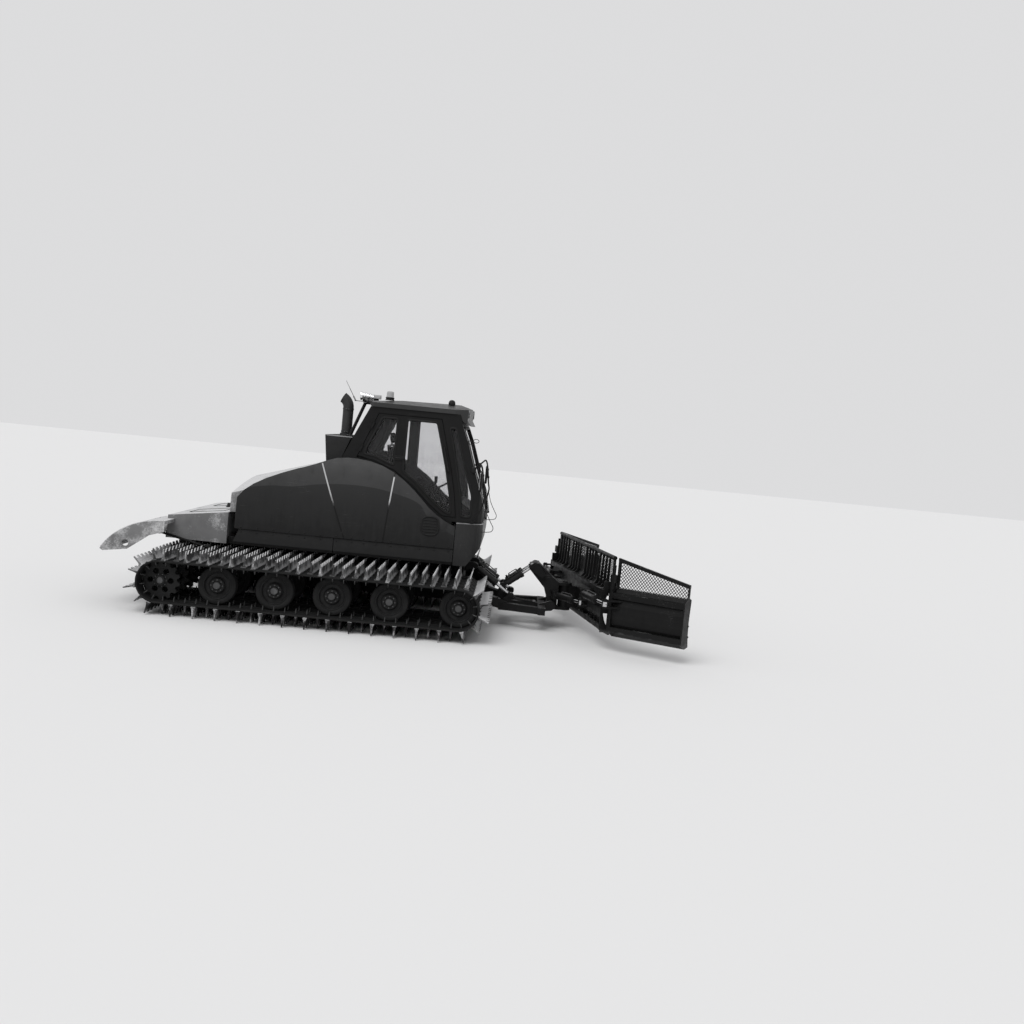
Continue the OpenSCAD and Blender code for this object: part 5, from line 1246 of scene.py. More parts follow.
def make_fender_trim():
    """Rolled edges, swages and bolts that follow the fender's curve, a dark tube under the deck's side that
    is painted shade of the gap below its edge, and the tail lamps.
    """
    t = np.linspace(0.02, 0.975, 30)
    line = fender_top(t)
    outer = np.stack([line[:, 0], np.full(30, 1.690), line[:, 1] - 0.002], axis=1)
    inner = np.stack([line[8:, 0], np.full(22, 0.708), line[8:, 1] - 0.002], axis=1)
    rolled = pipe(outer, 0.010, 8, up=(0, 1, 0))
    inner = pipe(inner, 0.008, 8, up=(0, 1, 0))
    rear = pipe([(-0.852, 0.706, 0.756), (-0.852, 1.692, 0.756)], 0.009, 8)
    swage = fender_top(np.linspace(0.30, 0.92, 18))
    paths = [np.stack([swage[:, 0], np.full(18, y), swage[:, 1] - 0.004], axis=1) for y in (0.95, 1.20, 1.45)]
    ribs = merged([pipe(path, 0.011, 8, up=(0, 1, 0)) for path in paths])
    places = fender_top(np.array([0.18, 0.36, 0.54, 0.72, 0.90]))
    ahead = fender_top(np.array([0.19, 0.37, 0.55, 0.73, 0.91])) - places
    heads = []
    for (x, z), (dx, dz) in zip(places, ahead):
        spots = [(x, y, z - 0.001) for y in (1.635, 0.78)]
        heads.append(repeated(bolt(0.011, 0.007), spots, frame_to((dz, 0, -dx), up=(0, 1, 0))))
    # A dark tube under the deck's side: painted shade of the gap below the deck's edge
    tube = pipe([(-0.250, 1.262, 0.965), (0.420, 1.262, 0.812)], 0.016, 10)
    ends = [moved(superbox((0.030, 0.012, 0.030), 3), p)
            for p in ((-0.250, 1.258, 0.965), (0.420, 1.258, 0.812))]
    shade_strut = merged([tube] + ends)
    lamp = (DECK_REAR, 1.06, 1.05)
    shell = [(0, -0.010), (0.0499, -0.010), (0.050, -0.030), (0.052, -0.034), (0.058, -0.030), (0.056, 0),
             (0, 0)]
    glass = [(0, -0.040), (0.030, -0.038), (0.0495, -0.028), (0.0495, -0.012), (0, -0.012)]
    tail_shell = moved(revolve(shell, 32, "x"), lamp)
    tail_glass = moved(revolve(glass, 32, "x"), lamp)
    parts = [(both_sides(merged([rolled, inner, rear, ribs])), F["fender"]),
             (both_sides(merged(heads)), F["zinc"]),
             (both_sides(tail_shell), F["trim"]), (both_sides(tail_glass), F["dome"])]
    piece("fender_trim", parts, "machine")
    piece("deck_shade_struts", [(both_sides(shade_strut), F["frame"])], "machine")


make_side_trim()
make_body_fittings()
make_fender_trim()


# Lamps, beacon, aerial and exhaust

INTAKE_TOP = 2.430
# Half width of the lamp stand, and the place of its tube, feet, lamps and cable
STAND_Y, TUBE_X, TUBE_Z = 0.620, 2.235, 2.935
FOOT_X, LAMP_X, LAMP_Z, CABLE_X = 2.0525, 2.190, 3.000, 2.262


def work_lamp(r):
    """A round lamp facing along +X: a finned bowl with its bezel, and the domed glass."""
    bowl = [(0, -0.046), (r * 0.35, -0.045), (r * 0.42, -0.034)]
    for i in range(4):
        x = -0.032 + i * 0.010
        fin = r * (0.62 + 0.07 * i)
        bowl += [(fin, x), (fin, x + 0.004), (r * (0.54 + 0.08 * i), x + 0.005),
                 (r * (0.56 + 0.08 * i), x + 0.009)]
    bowl += [(r, 0.010), (r * 1.0, 0.030), (r * 0.90, 0.033), (r * 0.88, 0.026), (0, -0.004)]
    glass = [(0, 0.012), (r * 0.875, 0.012), (r * 0.875, 0.026), (r * 0.6, 0.031), (0, 0.034)]
    return revolve(bowl, 36, "x"), revolve(glass, 36, "x")


def make_rear_lamps():
    """A tube across the cab's rear on two bent legs, with four lamps, their cable and a switch box."""
    knots = [(2.055, STAND_Y, 2.445), (2.085, STAND_Y, 2.53), (2.185, STAND_Y, 2.80), (2.228, STAND_Y, 2.915),
             (2.236, STAND_Y, 2.936)]
    leg = pipe(smooth_path(knots, 20), 0.0225, 14, up=(0, 1, 0))
    triangle = ((2.012, 2.452), (2.050, 2.452), (2.080, 2.535))
    corners = np.array([(x, STAND_Y + s * 0.004, z) for s in (-1, 1) for x, z in triangle])
    gusset = (corners, [np.array([[0, 1, 2], [5, 4, 3]]),
                        np.array([[1, 0, 3, 4], [2, 1, 4, 5], [0, 2, 5, 3]])])
    base = block((0.085, 0.070, 0.022), 0.003, (FOOT_X, STAND_Y, INTAKE_TOP + 0.0118))
    places = [(FOOT_X + a * 0.032, STAND_Y + b * 0.026, INTAKE_TOP + 0.0225)
              for a in (-1, 1) for b in (-1, 1)]
    nuts = repeated(bolt(0.008, 0.006), places, np.eye(3))
    stay = pipe([(2.238, STAND_Y, 2.905), (2.324, STAND_Y, 2.905)], 0.016, 10)
    tube = pipe([(TUBE_X, -0.858, TUBE_Z), (TUBE_X, 0.858, TUBE_Z)], 0.0215, 16)
    plug = revolve([(0, -0.004), (0.018, -0.003), (0.021, 0), (0.021, 0.004), (0, 0.004)], 16, "y")
    plugs = merged([moved(plug, (TUBE_X, y, TUBE_Z)) for y in (-0.857, 0.857)])
    brackets, bowls, glasses = [], [], []
    turn = turn_about((0, 0, 1), math.pi)
    bowl, glass = (turned(shape, turn) for shape in work_lamp(0.061))
    clamp = revolve([(0.0220, -0.016), (0.0265, -0.014), (0.0265, 0.014), (0.0220, 0.016)], 20, "y")
    for y in (-0.66, -0.22, 0.22, 0.66):
        bowls.append(moved(bowl, (LAMP_X, y, LAMP_Z)))
        glasses.append(moved(glass, (LAMP_X, y, LAMP_Z)))
        knots = [(2.200, y - 0.066, 3.000), (2.200, y - 0.066, 2.960), (2.214, y - 0.040, 2.945),
                 (2.214, y + 0.040, 2.945), (2.200, y + 0.066, 2.960), (2.200, y + 0.066, 3.000)]
        brackets.append(pipe(smooth_path(knots, 22), 0.0055, 8, up=(1, 0, 0)))
        brackets.append(moved(clamp, (TUBE_X, y, TUBE_Z)))
    knots = [(CABLE_X, -0.66, 2.955), (CABLE_X, -0.44, 2.930), (CABLE_X, -0.22, 2.950), (CABLE_X, 0.0, 2.928),
             (CABLE_X, 0.22, 2.950), (CABLE_X, 0.44, 2.930), (CABLE_X, 0.66, 2.955)]
    cable = pipe(smooth_path(knots, 50), 0.0045, 6)
    box = moved(superbox((0.052, 0.075, 0.030), 8), (2.300, 0.050, 3.012))
    box_foot = block((0.070, 0.020, 0.052), 0.003, (2.285, 0.050, 2.966))
    stand = merged([both_sides(leg), both_sides(gusset), both_sides(stay), tube, plugs, box_foot])
    parts = [(stand, F["frame"]), (both_sides(base), F["frame"]),
             (merged([both_sides(nuts)] + brackets), F["zinc"]), (merged(bowls), F["bright"]),
             (merged(glasses), F["lens"]), (cable, F["hose"]), (box, F["pale"])]
    piece("rear_lamps", parts, "machine", replaces=["lamps"])


def make_front_lamps():
    """Headlights in the nose, and a small lamp under each front corner of the roof."""
    r = 0.0905
    bowl = revolve([(0, -0.060), (r * 0.50, -0.052), (r * 0.80, -0.028), (r * 0.93, -0.004),
                    (r * 0.985, -0.002), (r, 0.006), (r * 0.97, 0.013), (r * 0.90, 0.013), (r * 0.88, 0.006),
                    (r * 0.70, -0.022), (r * 0.40, -0.040), (0, -0.046)], 44, "x")
    glass = revolve([(0, 0.002), (r * 0.87, 0.002), (r * 0.87, 0.009), (r * 0.5, 0.015), (0, 0.017)], 44, "x")
    bulb = revolve([(0, -0.044), (0.012, -0.044), (0.016, -0.030), (0.012, -0.020), (0, -0.016)], 16, "x")
    place = (3.925, 0.820, 1.215)
    spots = [(place[0] + 0.012, place[1] + r * 0.935 * math.cos(a), place[2] + r * 0.935 * math.sin(a))
             for a in (0.8, 2.35, 3.9, 5.5)]
    screws = repeated(bolt(0.006, 0.004), spots, frame_to((1, 0, 0)))
    small_bowl, small_glass = work_lamp(0.0545)
    roof = (3.618, 0.790, 2.890)
    eyelid = revolve([(0.0555, -0.014), (0.0575, -0.012), (0.0590, 0.034), (0.0600, 0.038), (0.0560, 0.038),
                      (0.0550, 0.0)], 36, "x")
    parts = [(moved(bowl, place), F["bright"]), (moved(glass, place), F["lens"]),
             (moved(bulb, place), F["shell"]), (screws, F["zinc"]), (moved(small_bowl, roof), F["trim"]),
             (moved(small_glass, roof), F["lens"]), (moved(eyelid, roof), F["zinc"])]
    parts = [(both_sides(shape), look) for shape, look in parts]
    piece("front_lamps", parts, "machine")


def make_beacon():
    """A dome whose radius falls with the cube of its height, finely ribbed, on a stepped foot."""
    base = revolve([(0, 0), (0.061, 0), (0.062, 0.006), (0.058, 0.010), (0.056, 0.026), (0.060, 0.030),
                    (0.060, 0.038), (0.050, 0.041), (0, 0.041)], 40, "z")
    z = np.linspace(0, 1, 20)
    wave = 0.0006 * np.cos(z * 40 * math.pi)
    wall = [(0.0505 - 0.004 * v ** 3 + w, 0.041 + 0.070 * v) for v, w in zip(z, wave)]
    dome = revolve([(0, 0.0405)] + wall + [(0.040, 0.118), (0.022, 0.124), (0, 0.126)], 40, "z")
    spot = (2.549, -0.600, 2.9731)
    parts = [(moved(base, spot), F["trim"]), (moved(dome, spot), F["dome"])]
    piece("beacon_light", parts, "machine", replaces=["beacon"])


def make_aerial():
    """A bracket and spring foot on the lamp stand with a tapered whip, and a low domed cover on the roof."""
    y = -STAND_Y - 0.024 - 0.012
    foot, tip = np.array([2.091, y, 2.930]), np.array([1.944, y, 3.181])
    way = (tip - foot) / np.linalg.norm(tip - foot)
    side = np.cross((0, 1.0, 0), way)
    turn = np.linspace(0, 9 * 2 * math.pi, 150)
    around = np.cos(turn)[:, None] * side + np.sin(turn)[:, None] * np.array([0, 1.0, 0])
    coil = foot + way * (0.012 + 0.050 * turn[:, None] / turn[-1]) + 0.0085 * around
    spring = pipe(coil, 0.0021, 6, up=tuple(way))
    whip = merged([pipe(np.stack([foot + way * t for t in (0.055, 0.180)]), 0.0036, 8),
                   pipe(np.stack([foot + way * t for t in (0.179, 0.290)]), 0.0026, 8)])
    stub = pipe(np.stack([foot - way * 0.012, foot + way * 0.014]), 0.0095, 12)
    arm = block((0.132, 0.020, 0.008), 0.002, (2.146, y, 2.924))
    grip = revolve([(0.0245, -0.014), (0.029, -0.012), (0.029, 0.012), (0.0245, 0.014)], 20, "z")
    grip = moved(grip, (2.222, -STAND_Y, 2.918))
    dome = revolve([(0, 0), (0.047, 0), (0.048, 0.010), (0.0475, 0.020), (0.045, 0.038), (0.038, 0.054),
                    (0.026, 0.064), (0.012, 0.069), (0, 0.070)], 36, "z")
    skirt = revolve([(0, -0.001), (0.0475, -0.001), (0.0478, 0.005), (0, 0.006)], 36, "z")
    spot = (3.388, -0.500, 2.9892)
    parts = [(merged([whip, arm, moved(dome, spot), moved(skirt, spot)]), F["trim"]),
             (merged([spring, stub, grip]), F["zinc"])]
    piece("aerials", parts, "machine", replaces=["antenna"])


def make_stack_trim():
    """Clamps round the exhaust's foot and under its bend, a rolled lip at its mouth, and a near-black disc
    across the bore just inside it: painted shade in the pipe.
    """
    x, y, z = 1.975, -0.450, INTAKE_TOP + 0.0003
    ring = revolve([(0.0722, -0.011), (0.0765, -0.010), (0.0765, 0.010), (0.0722, 0.011)], 36, "z")
    heights, lug_y = (0.062, 0.372), y - 0.088
    clamp = merged([moved(ring, (x, y, z + h)) for h in heights])
    lugs = merged([block((0.030, 0.016, 0.020), 0.002, (x, lug_y, z + h)) for h in heights])
    screws = merged([pipe([(x - 0.020, lug_y, z + h), (x + 0.020, lug_y, z + h)], 0.0045, 8)
                     for h in heights])
    angle, bend, rise = math.radians(62), 0.150, 0.390
    mouth = np.array([x - bend + bend * math.cos(angle), y, z + rise + bend * math.sin(angle)])
    ahead = np.array([-math.sin(angle), 0, math.cos(angle)])
    axes = frame_to(ahead, up=(0, 1, 0))
    lip = revolve([(0.0722, -0.008), (0.0745, -0.005), (0.0735, 0.001), (0.068, 0.003), (0.0635, 0.0),
                   (0.0635, -0.006)], 36, "z")
    lip = repeated(lip, [mouth], axes)
    # A near-black disc across the bore: painted shade inside the exhaust's mouth
    bore_shade = revolve([(0, -0.030), (0.0632, -0.030), (0.0632, -0.026), (0, -0.026)], 30, "z")
    bore_shade = repeated(bore_shade, [mouth], axes)
    parts = [(merged([clamp, lugs]), F["stack"]), (screws, F["zinc"]), (lip, F["stack"]), (bore_shade, F["seal"])]
    piece("stack_trim", parts, "machine")


make_rear_lamps()
make_front_lamps()
make_beacon()
make_aerial()
make_stack_trim()


# Hydraulics: each cylinder's own frame has its pin at the origin and its rod along +X

JOINTS = {j["name"]: j for j in frame["joints"]}
# Each kind's barrel length, the endings of its bodies' names, and how far a pair stands from the middle
CYLINDERS = [("lift", 0.392, ("",), 0.290), ("pitch", 0.328, ("",), 0.150),
             ("angle", 0.430, ("_left", "_right"), 0), ("wing", 0.520, ("_left", "_right"), 0)]


def cylinder_frames(name):
    """Rows of a cylinder's axes: along its stroke, across it, and the side that faces up most."""
    along = np.array(JOINTS[name]["axis"], float)
    along /= np.linalg.norm(along)
    across = np.cross((0, 0, 1.0), along)
    across /= np.linalg.norm(across)
    return np.stack([along, across, np.cross(along, across)])


def barrel_fittings(length, r=0.048):
    """A grooved gland, two bands with a weld, and a steel line with a nut at each end."""
    gland = revolve([(0.0245, length - 0.020), (r + 0.0050, length - 0.046), (r + 0.0070, length - 0.044),
                     (r + 0.0070, length - 0.032), (r + 0.0055, length - 0.030), (r + 0.0055, length - 0.026),
                     (r + 0.0070, length - 0.024), (r + 0.0070, length - 0.004), (r + 0.0050, length + 0.001),
                     (0.034, length + 0.001), (0.032, length + 0.006), (0.026, length + 0.006),
                     (0.0245, length)], 36, "x")
    bands = [revolve([(r + 0.0005, x - 0.010), (r + 0.003, x - 0.009), (r + 0.003, x + 0.009),
                      (r + 0.0005, x + 0.010)], 32, "x") for x in (0.110, length - 0.100)]
    top = r + 0.017
    x0, x1 = 0.132, length - 0.068
    knots = [(x0, 0.018, r - 0.006), (x0, 0.018, r + 0.010), (x0 + 0.016, 0.018, top),
             (x1 - 0.016, 0.018, top), (x1, 0.018, r + 0.010), (x1, 0.018, r - 0.006)]
    line = pipe(smooth_path(knots, 30), 0.0065, 8, up=(0, 1, 0))
    nut = revolve([(0.0125, 0), (0.0125, 0.012), (0.0095, 0.016), (0.0065, 0.017)], 6, "z")
    nuts = merged([moved(nut, (x, 0.018, r - 0.005)) for x in (x0, x1)])
    weld = revolve([(0.028, 0.060), (0.034, 0.062), (0.036, 0.067), (0.030, 0.068)], 28, "x")
    return gland, merged(bands + [weld]), line, nuts


def rod_fittings():
    """A collar where the rod is welded to its eye, and a grease nipple on the eye's end."""
    collar = revolve([(0.0222, -0.056), (0.029, -0.054), (0.031, -0.048), (0.031, -0.036), (0.0222, -0.034)],
                     28, "x")
    nipple = revolve([(0.007, -0.002), (0.007, 0.004), (0.004, 0.005), (0.004, 0.010), (0, 0.011)], 10, "x")
    return collar, moved(nipple, (0.0395, 0, 0))


def paired(spot, both):
    """The spot on both sides of the middle plane, that far from it, or the spot alone where it is 0."""
    return [(spot[0], both, spot[2]), (spot[0], -both, spot[2])] if both else [spot]


def make_hydraulics():
    """Fittings on each barrel at its pin, and on each rod at its eye, along the stroke's axis."""
    collar, nipple = rod_fittings()
    for kind, length, sides, both in CYLINDERS:
        gland, bands, line, nuts = barrel_fittings(length)
        for side in sides:
            axes = cylinder_frames(f"{kind}_stroke{side}")
            pin = np.array(JOINTS[f"{kind}_trunnion{side}"]["pos_m"]) - ORIGIN
            places = paired(pin, both)
            parts = [(repeated(gland, places, axes), F["cast"]), (repeated(bands, places, axes), F["barrel"]),
                     (repeated(line, places, axes), F["zinc"]), (repeated(nuts, places, axes), F["zinc"])]
            piece(f"{kind}_barrel_fittings{side}", parts, f"{kind}_barrel{side}")
            ends = paired(EYES[kind](side), both)
            fitted = [(nipple, F["zinc"])]
            if both:
                fitted = [(collar, F["cast"]), (nipple, F["zinc"])]
            parts = [(repeated(shape, ends, axes), look) for shape, look in fitted]
            piece(f"{kind}_rod_fittings{side}", parts, f"{kind}_rod{side}")


def plan_turned(x, y, angle):
    """A point of the plan turned left about the origin, by the cosine and sine of the angle."""
    return x * math.cos(angle) - y * math.sin(angle), x * math.sin(angle) + y * math.cos(angle)


def angle_eye(side):
    """The eye of the cylinder that turns the blade: a fixed place in the blade's frame."""
    s = 1 if side == "_left" else -1
    x, y = plan_turned(0.060, s * 0.720, BLADE_YAW)
    return np.array([SWIVEL[0] + x, SWIVEL[1] + y, 0.480])


def wing_eye(side):
    """The eye of the cylinder that folds a wing: a fixed place in the wing's frame."""
    s = 1 if side == "_left" else -1
    x, y = plan_turned(-0.250, s * 0.022, BLADE_YAW - s * WING_FOLD)
    return np.array([WING_PIVOT[s][0] + x, WING_PIVOT[s][1] + y, 0.640])


# Where each kind of cylinder has its rod's eye
EYES = {"lift": lambda side: np.array([4.439, 0, 0.428]), "pitch": lambda side: np.array([4.713, 0, 0.849]),
        "angle": angle_eye, "wing": wing_eye}
make_hydraulics()


def make_push_frame_fittings():
    """Steel lines clipped along the arms, a valve block on the cross beam, and hoses on to the front beam."""
    def arm_top(x):
        """Height of the arm's upper face, straight from corner to corner."""
        return np.interp(x, [3.680, 4.200, 4.380], [0.535, 0.400, 0.350])

    x = np.linspace(3.86, 4.30, 12)
    lines = [np.stack([x, np.full(12, y), arm_top(x) + 0.012], axis=1) for y in (0.372, 0.392, 0.412, 0.432)]
    unions = merged([pipe(line[:2] + [[-0.020, 0, 0.004], [0, 0, 0]], 0.0095, 6) for line in lines])
    clips = merged([block((0.022, 0.086, 0.026), 0.003, (c, 0.402, arm_top(c) + 0.013))
                    for c in (3.93, 4.10, 4.26)])
    ports = np.array([-0.075, -0.025, 0.025, 0.075])
    spools = [block((0.052, 0.034, 0.030), 0.004, (4.345, y, 0.430)) for y in ports]
    valve = merged([block((0.090, 0.230, 0.070), 0.005, (4.345, 0.0, 0.381))] + spools)
    hoses, crimps = [], []
    for k, y in enumerate(ports):
        lane = 0.028 * (k - 1.5)
        knots = [(4.392, y, 0.385), (4.442, y, 0.389), (4.50, y * 0.8, 0.352 + 0.010 * (k % 2)),
                 (4.65, lane, 0.340), (4.800, lane, 0.338)]
        path = smooth_path(knots, 30)
        hoses.append(pipe(path, 0.0095, 10))
        crimps += [pipe(path[:3], 0.0125, 6), pipe(path[-3:], 0.0125, 6)]
    tubes = merged([pipe(line, 0.0060, 8) for line in lines])
    parts = [(both_sides(tubes), F["zinc"]), (both_sides(clips), F["trim"]), (valve, F["cast"]),
             (merged(hoses), F["hose"]), (merged([both_sides(unions)] + crimps), F["zinc"])]
    piece("push_frame_lines", parts, "push_frame")


make_push_frame_fittings()


# Blade: bolts and joint lines of the cutting edge, and bolts on the wings' ends

def edge_bolts(y0, y1, count):
    """Plough bolts in pairs along the cutting edge's front, in the frame of the blade or a wing."""
    y = np.linspace(y0, y1, count)
    head = revolve([(0.013, 0), (0.0125, 0.003), (0.008, 0.006), (0, 0.0065)], 12, "z")
    rows = [np.stack([np.full(count, EDGE_X), y, np.full(count, z)], axis=1) for z in (0.222, 0.245)]
    return repeated(head, np.concatenate(rows), frame_to((1, 0, 0)))


# The blade's back, foot and top, its hollow face's radius and thickness, and the front of the cutting edge
BLADE_BACK, BLADE_Z, BLADE_TOP, MOULD_R, MOULD_T = 5.330, 0.200, 0.820, 0.420, 0.024
BLADE_HALF, HINGE_ROOM, WING_AHEAD = 1.6, 0.048, 0.110
EDGE_HIGH, EDGE_OUT = 0.050, 0.006
HALF_RISE = (BLADE_TOP - BLADE_Z - EDGE_HIGH) / 2
EDGE_X = BLADE_BACK + MOULD_T + MOULD_R - math.sqrt(MOULD_R ** 2 - HALF_RISE ** 2) + EDGE_OUT - SWIVEL[0]


def make_blade_fittings():
    """Bolts and joints along the cutting edges, and three bolts in each wing's end plate."""
    half = BLADE_HALF - HINGE_ROOM
    main = edge_bolts(-half + 0.08, half - 0.08, 20)
    parts = [(from_blade(main), F["zinc"])]
    seams = [block((0.006, 0.004, 0.052), 0.001, (EDGE_X - 0.001, y, 0.228)) for y in (-0.52, 0.52)]
    parts.append((from_blade(merged(seams)), F["seal"]))
    piece("blade_bolts", parts, "blade")
    for sign, side in ((1, "left"), (-1, "right")):
        outer = edge_bolts(0.11, 0.97, 7)
        wing_x = SWIVEL[0] - (BLADE_BACK + WING_AHEAD)
        outer = moved(outer, (wing_x, 0, 0))
        places = [(EDGE_X + wing_x + 0.055 - 0.02 * k, 1.0500, 0.35 + 0.14 * k) for k in range(3)]
        caps = repeated(bolt(0.012, 0.008), places, frame_to((0, 1, 0)))
        bolts = [(from_wing(shape, sign), F["zinc"]) for shape in (outer, caps)]
        piece(f"wing_bolts_{side}", bolts, f"wing_{side}")


make_blade_fittings()


# Cab interior: sprung seats with padded cushions, levers, screen and dials

FLOOR_Z = 1.3003
SEAT_X, SEAT_Y = 2.860, 0.330


def pad_form(half, crown=0.012, power=4.5):
    """A cushion's start: a rounded box whose top and bottom swell towards the middle."""
    points, faces = superbox(half, power, 26, 56)
    along, over = (np.clip(1 - (points[:, k] / half[k]) ** 2, 0, 1) for k in (0, 1))
    points[:, 2] += np.sign(points[:, 2]) * crown * (along * over)
    return points, faces


def seamed(points, lines, depth, width):
    """Each point is drawn down by a bell curve across every seam line, given as an axis and a place on it."""
    for axis, place in lines:
        dip = np.exp(-((points[:, axis] - place) / width) ** 2)
        points[:, 2] -= np.sign(points[:, 2]) * depth * dip
    return points


def coords(mesh):
    """A mesh's points as rows."""
    flat = np.empty(len(mesh.vertices) * 3, np.float32)
    mesh.vertices.foreach_get("co", flat)
    return flat.reshape(-1, 3)


def apply_modifier(thing, kind, **settings):
    """Adds one modifier and applies it."""
    modifier = thing.modifiers.new(kind.lower(), kind)
    for key, value in settings.items():
        setattr(modifier, key, value)
    bpy.context.view_layer.objects.active = thing
    with bpy.context.temp_override(active_object=thing, object=thing, selected_objects=[thing]):
        bpy.ops.object.modifier_apply(modifier=modifier.name)


def inflated(thing, pressure, cap):
    """The points after the pad is blown up as cloth over 20 frames, none moved further than the cap."""
    start = coords(thing.data)
    cloth = thing.modifiers.new("stuffing", "CLOTH")
    cloth.settings.quality = 4
    cloth.settings.use_pressure = True
    cloth.settings.uniform_pressure_force = pressure
    cloth.settings.effector_weights.gravity = 0.0
    cloth.point_cache.frame_start, cloth.point_cache.frame_end = 1, 20
    for step in range(1, 21):
        bpy.context.scene.frame_set(step)
    way = coords(thing.evaluated_get(bpy.context.evaluated_depsgraph_get()).data) - start
    thing.modifiers.remove(cloth)
    bpy.context.scene.frame_set(1)
    far = np.linalg.norm(way, axis=1, keepdims=True)
    return start + way * np.minimum(1, cap / np.maximum(far, 1e-9))


def stuffed(name, half, lines, matrix, places, pressure=4.0, cap=0.022):
    """Cushions from one pad: remeshed evenly, blown up as cloth, subdivided once, seamed and put in place."""
    shape = pad_form(half)
    mesh = bpy.data.meshes.new(name)
    mesh.from_pydata(shape[0].tolist(), [], [tuple(map(int, f)) for fs in shape[1] for f in fs])
    thing = bpy.data.objects.new(name, mesh)
    bpy.context.scene.collection.objects.link(thing)
    apply_modifier(thing, "REMESH", mode="VOXEL", voxel_size=0.010)
    points = inflated(thing, pressure, cap)
    limit = np.asarray(half) + 0.020
    thing.data.vertices.foreach_set("co", np.clip(points, -limit, limit).astype(np.float32).ravel())
    apply_modifier(thing, "SUBSURF", levels=1, render_levels=1)
    points = seamed(coords(thing.data).astype(float), lines, 0.009, 0.010)
    source = thing.data
    bpy.data.objects.remove(thing)
    made = []
    for k, place in enumerate(places):
        data = source.copy()
        data.name = f"{name}_{k + 1}"
        put = points @ matrix + np.asarray(place) + ORIGIN
        data.vertices.foreach_set("co", put.astype(np.float32).ravel())
        data.materials.clear()
        data.materials.append(F["cloth"])
        data.polygons.foreach_set("use_smooth", np.ones(len(data.polygons), bool))
        data.update()
        cushion = bpy.data.objects.new(data.name, data)
        bpy.context.scene.collection.objects.link(cushion)
        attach(cushion, "machine")
        made.append(cushion)
    return made


def make_seats():
    """Two seats: padded cushion, back and head rest on a shell, a bellows and a base, with an arm rest."""
    sides = (SEAT_Y, -SEAT_Y)
    seams = [(1, 0.13), (1, -0.13), (0, -0.06), (0, 0.08)]
    seats = stuffed("seat_cushion", (0.235, 0.215, 0.048), seams, np.eye(3),
                    [(SEAT_X + 0.020, y, FLOOR_Z + 0.366) for y in sides])
    lean = math.atan2(0.080, 0.650)
    up = np.array([-math.sin(lean), 0, math.cos(lean)])
    out = np.array([math.cos(lean), 0, math.sin(lean)])
    axes = np.stack([up, [0, 1.0, 0], np.cross(up, [0, 1.0, 0])])
    middle = np.array([SEAT_X - 0.212, 0, FLOOR_Z + 0.765])
    seams = [(1, 0.12), (1, -0.12), (0, -0.08), (0, 0.10)]
    stuffed("seat_back", (0.300, 0.205, 0.036), seams, axes, [middle + [0, y, 0] for y in sides])
    stuffed("head_rest", (0.072, 0.110, 0.026), [], axes,
            [np.array([SEAT_X - 0.250, y, FLOOR_Z + 1.165]) for y in sides])
    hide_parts("seats")
    base = block((0.300, 0.300, 0.030), 0.006, (SEAT_X, 0, FLOOR_Z + 0.015))
    folds = [(0.118 + (0.016 if k % 2 else 0.0), FLOOR_Z + 0.030 + 0.020 * k) for k in range(12)]
    bellows = revolve([(0, FLOOR_Z + 0.030)] + folds + [(0, FLOOR_Z + 0.252)], 40, "z")
    plate = block((0.420, 0.380, 0.034), 0.010, (SEAT_X, 0, FLOOR_Z + 0.275))
    knob = revolve([(0.018, 0), (0.022, 0.004), (0.022, 0.020), (0.016, 0.026), (0, 0.026)], 16, "y")
    knob = moved(knob, (SEAT_X + 0.06, 0.192, FLOOR_Z + 0.275))
    lever = pipe([(SEAT_X + 0.15, 0.200, FLOOR_Z + 0.275), (SEAT_X + 0.245, 0.210, FLOOR_Z + 0.285)], 0.008,
                 8)
    shell = block((0.620, 0.400, 0.014), 0.006)
    shell = moved(turned(shell, axes), middle - out * 0.045)
    ends = [(middle + up * 0.29 + [0, y, 0] - out * 0.01, middle + up * 0.36 + [0, y, 0] - out * 0.006)
            for y in (-0.05, 0.05)]
    posts = merged([pipe(pair, 0.007, 8) for pair in ends])
    knots = [(SEAT_X - 0.16, 0.232, FLOOR_Z + 0.60), (SEAT_X - 0.10, 0.234, FLOOR_Z + 0.605),
             (SEAT_X + 0.10, 0.234, FLOOR_Z + 0.600)]
    rest = pipe(smooth_path(knots, 12), 0.020, 10)
    one = merged([base, moved(bellows, (SEAT_X, 0, 0)), plate, knob, lever, shell])
    both = [merged([moved(s, (0, y, 0)) for y in sides]) for s in (one, posts, both_sides(rest))]
    piece("seat_frames", [(both[0], F["trim"]), (both[1], F["zinc"]), (both[2], F["cloth"])], "machine")


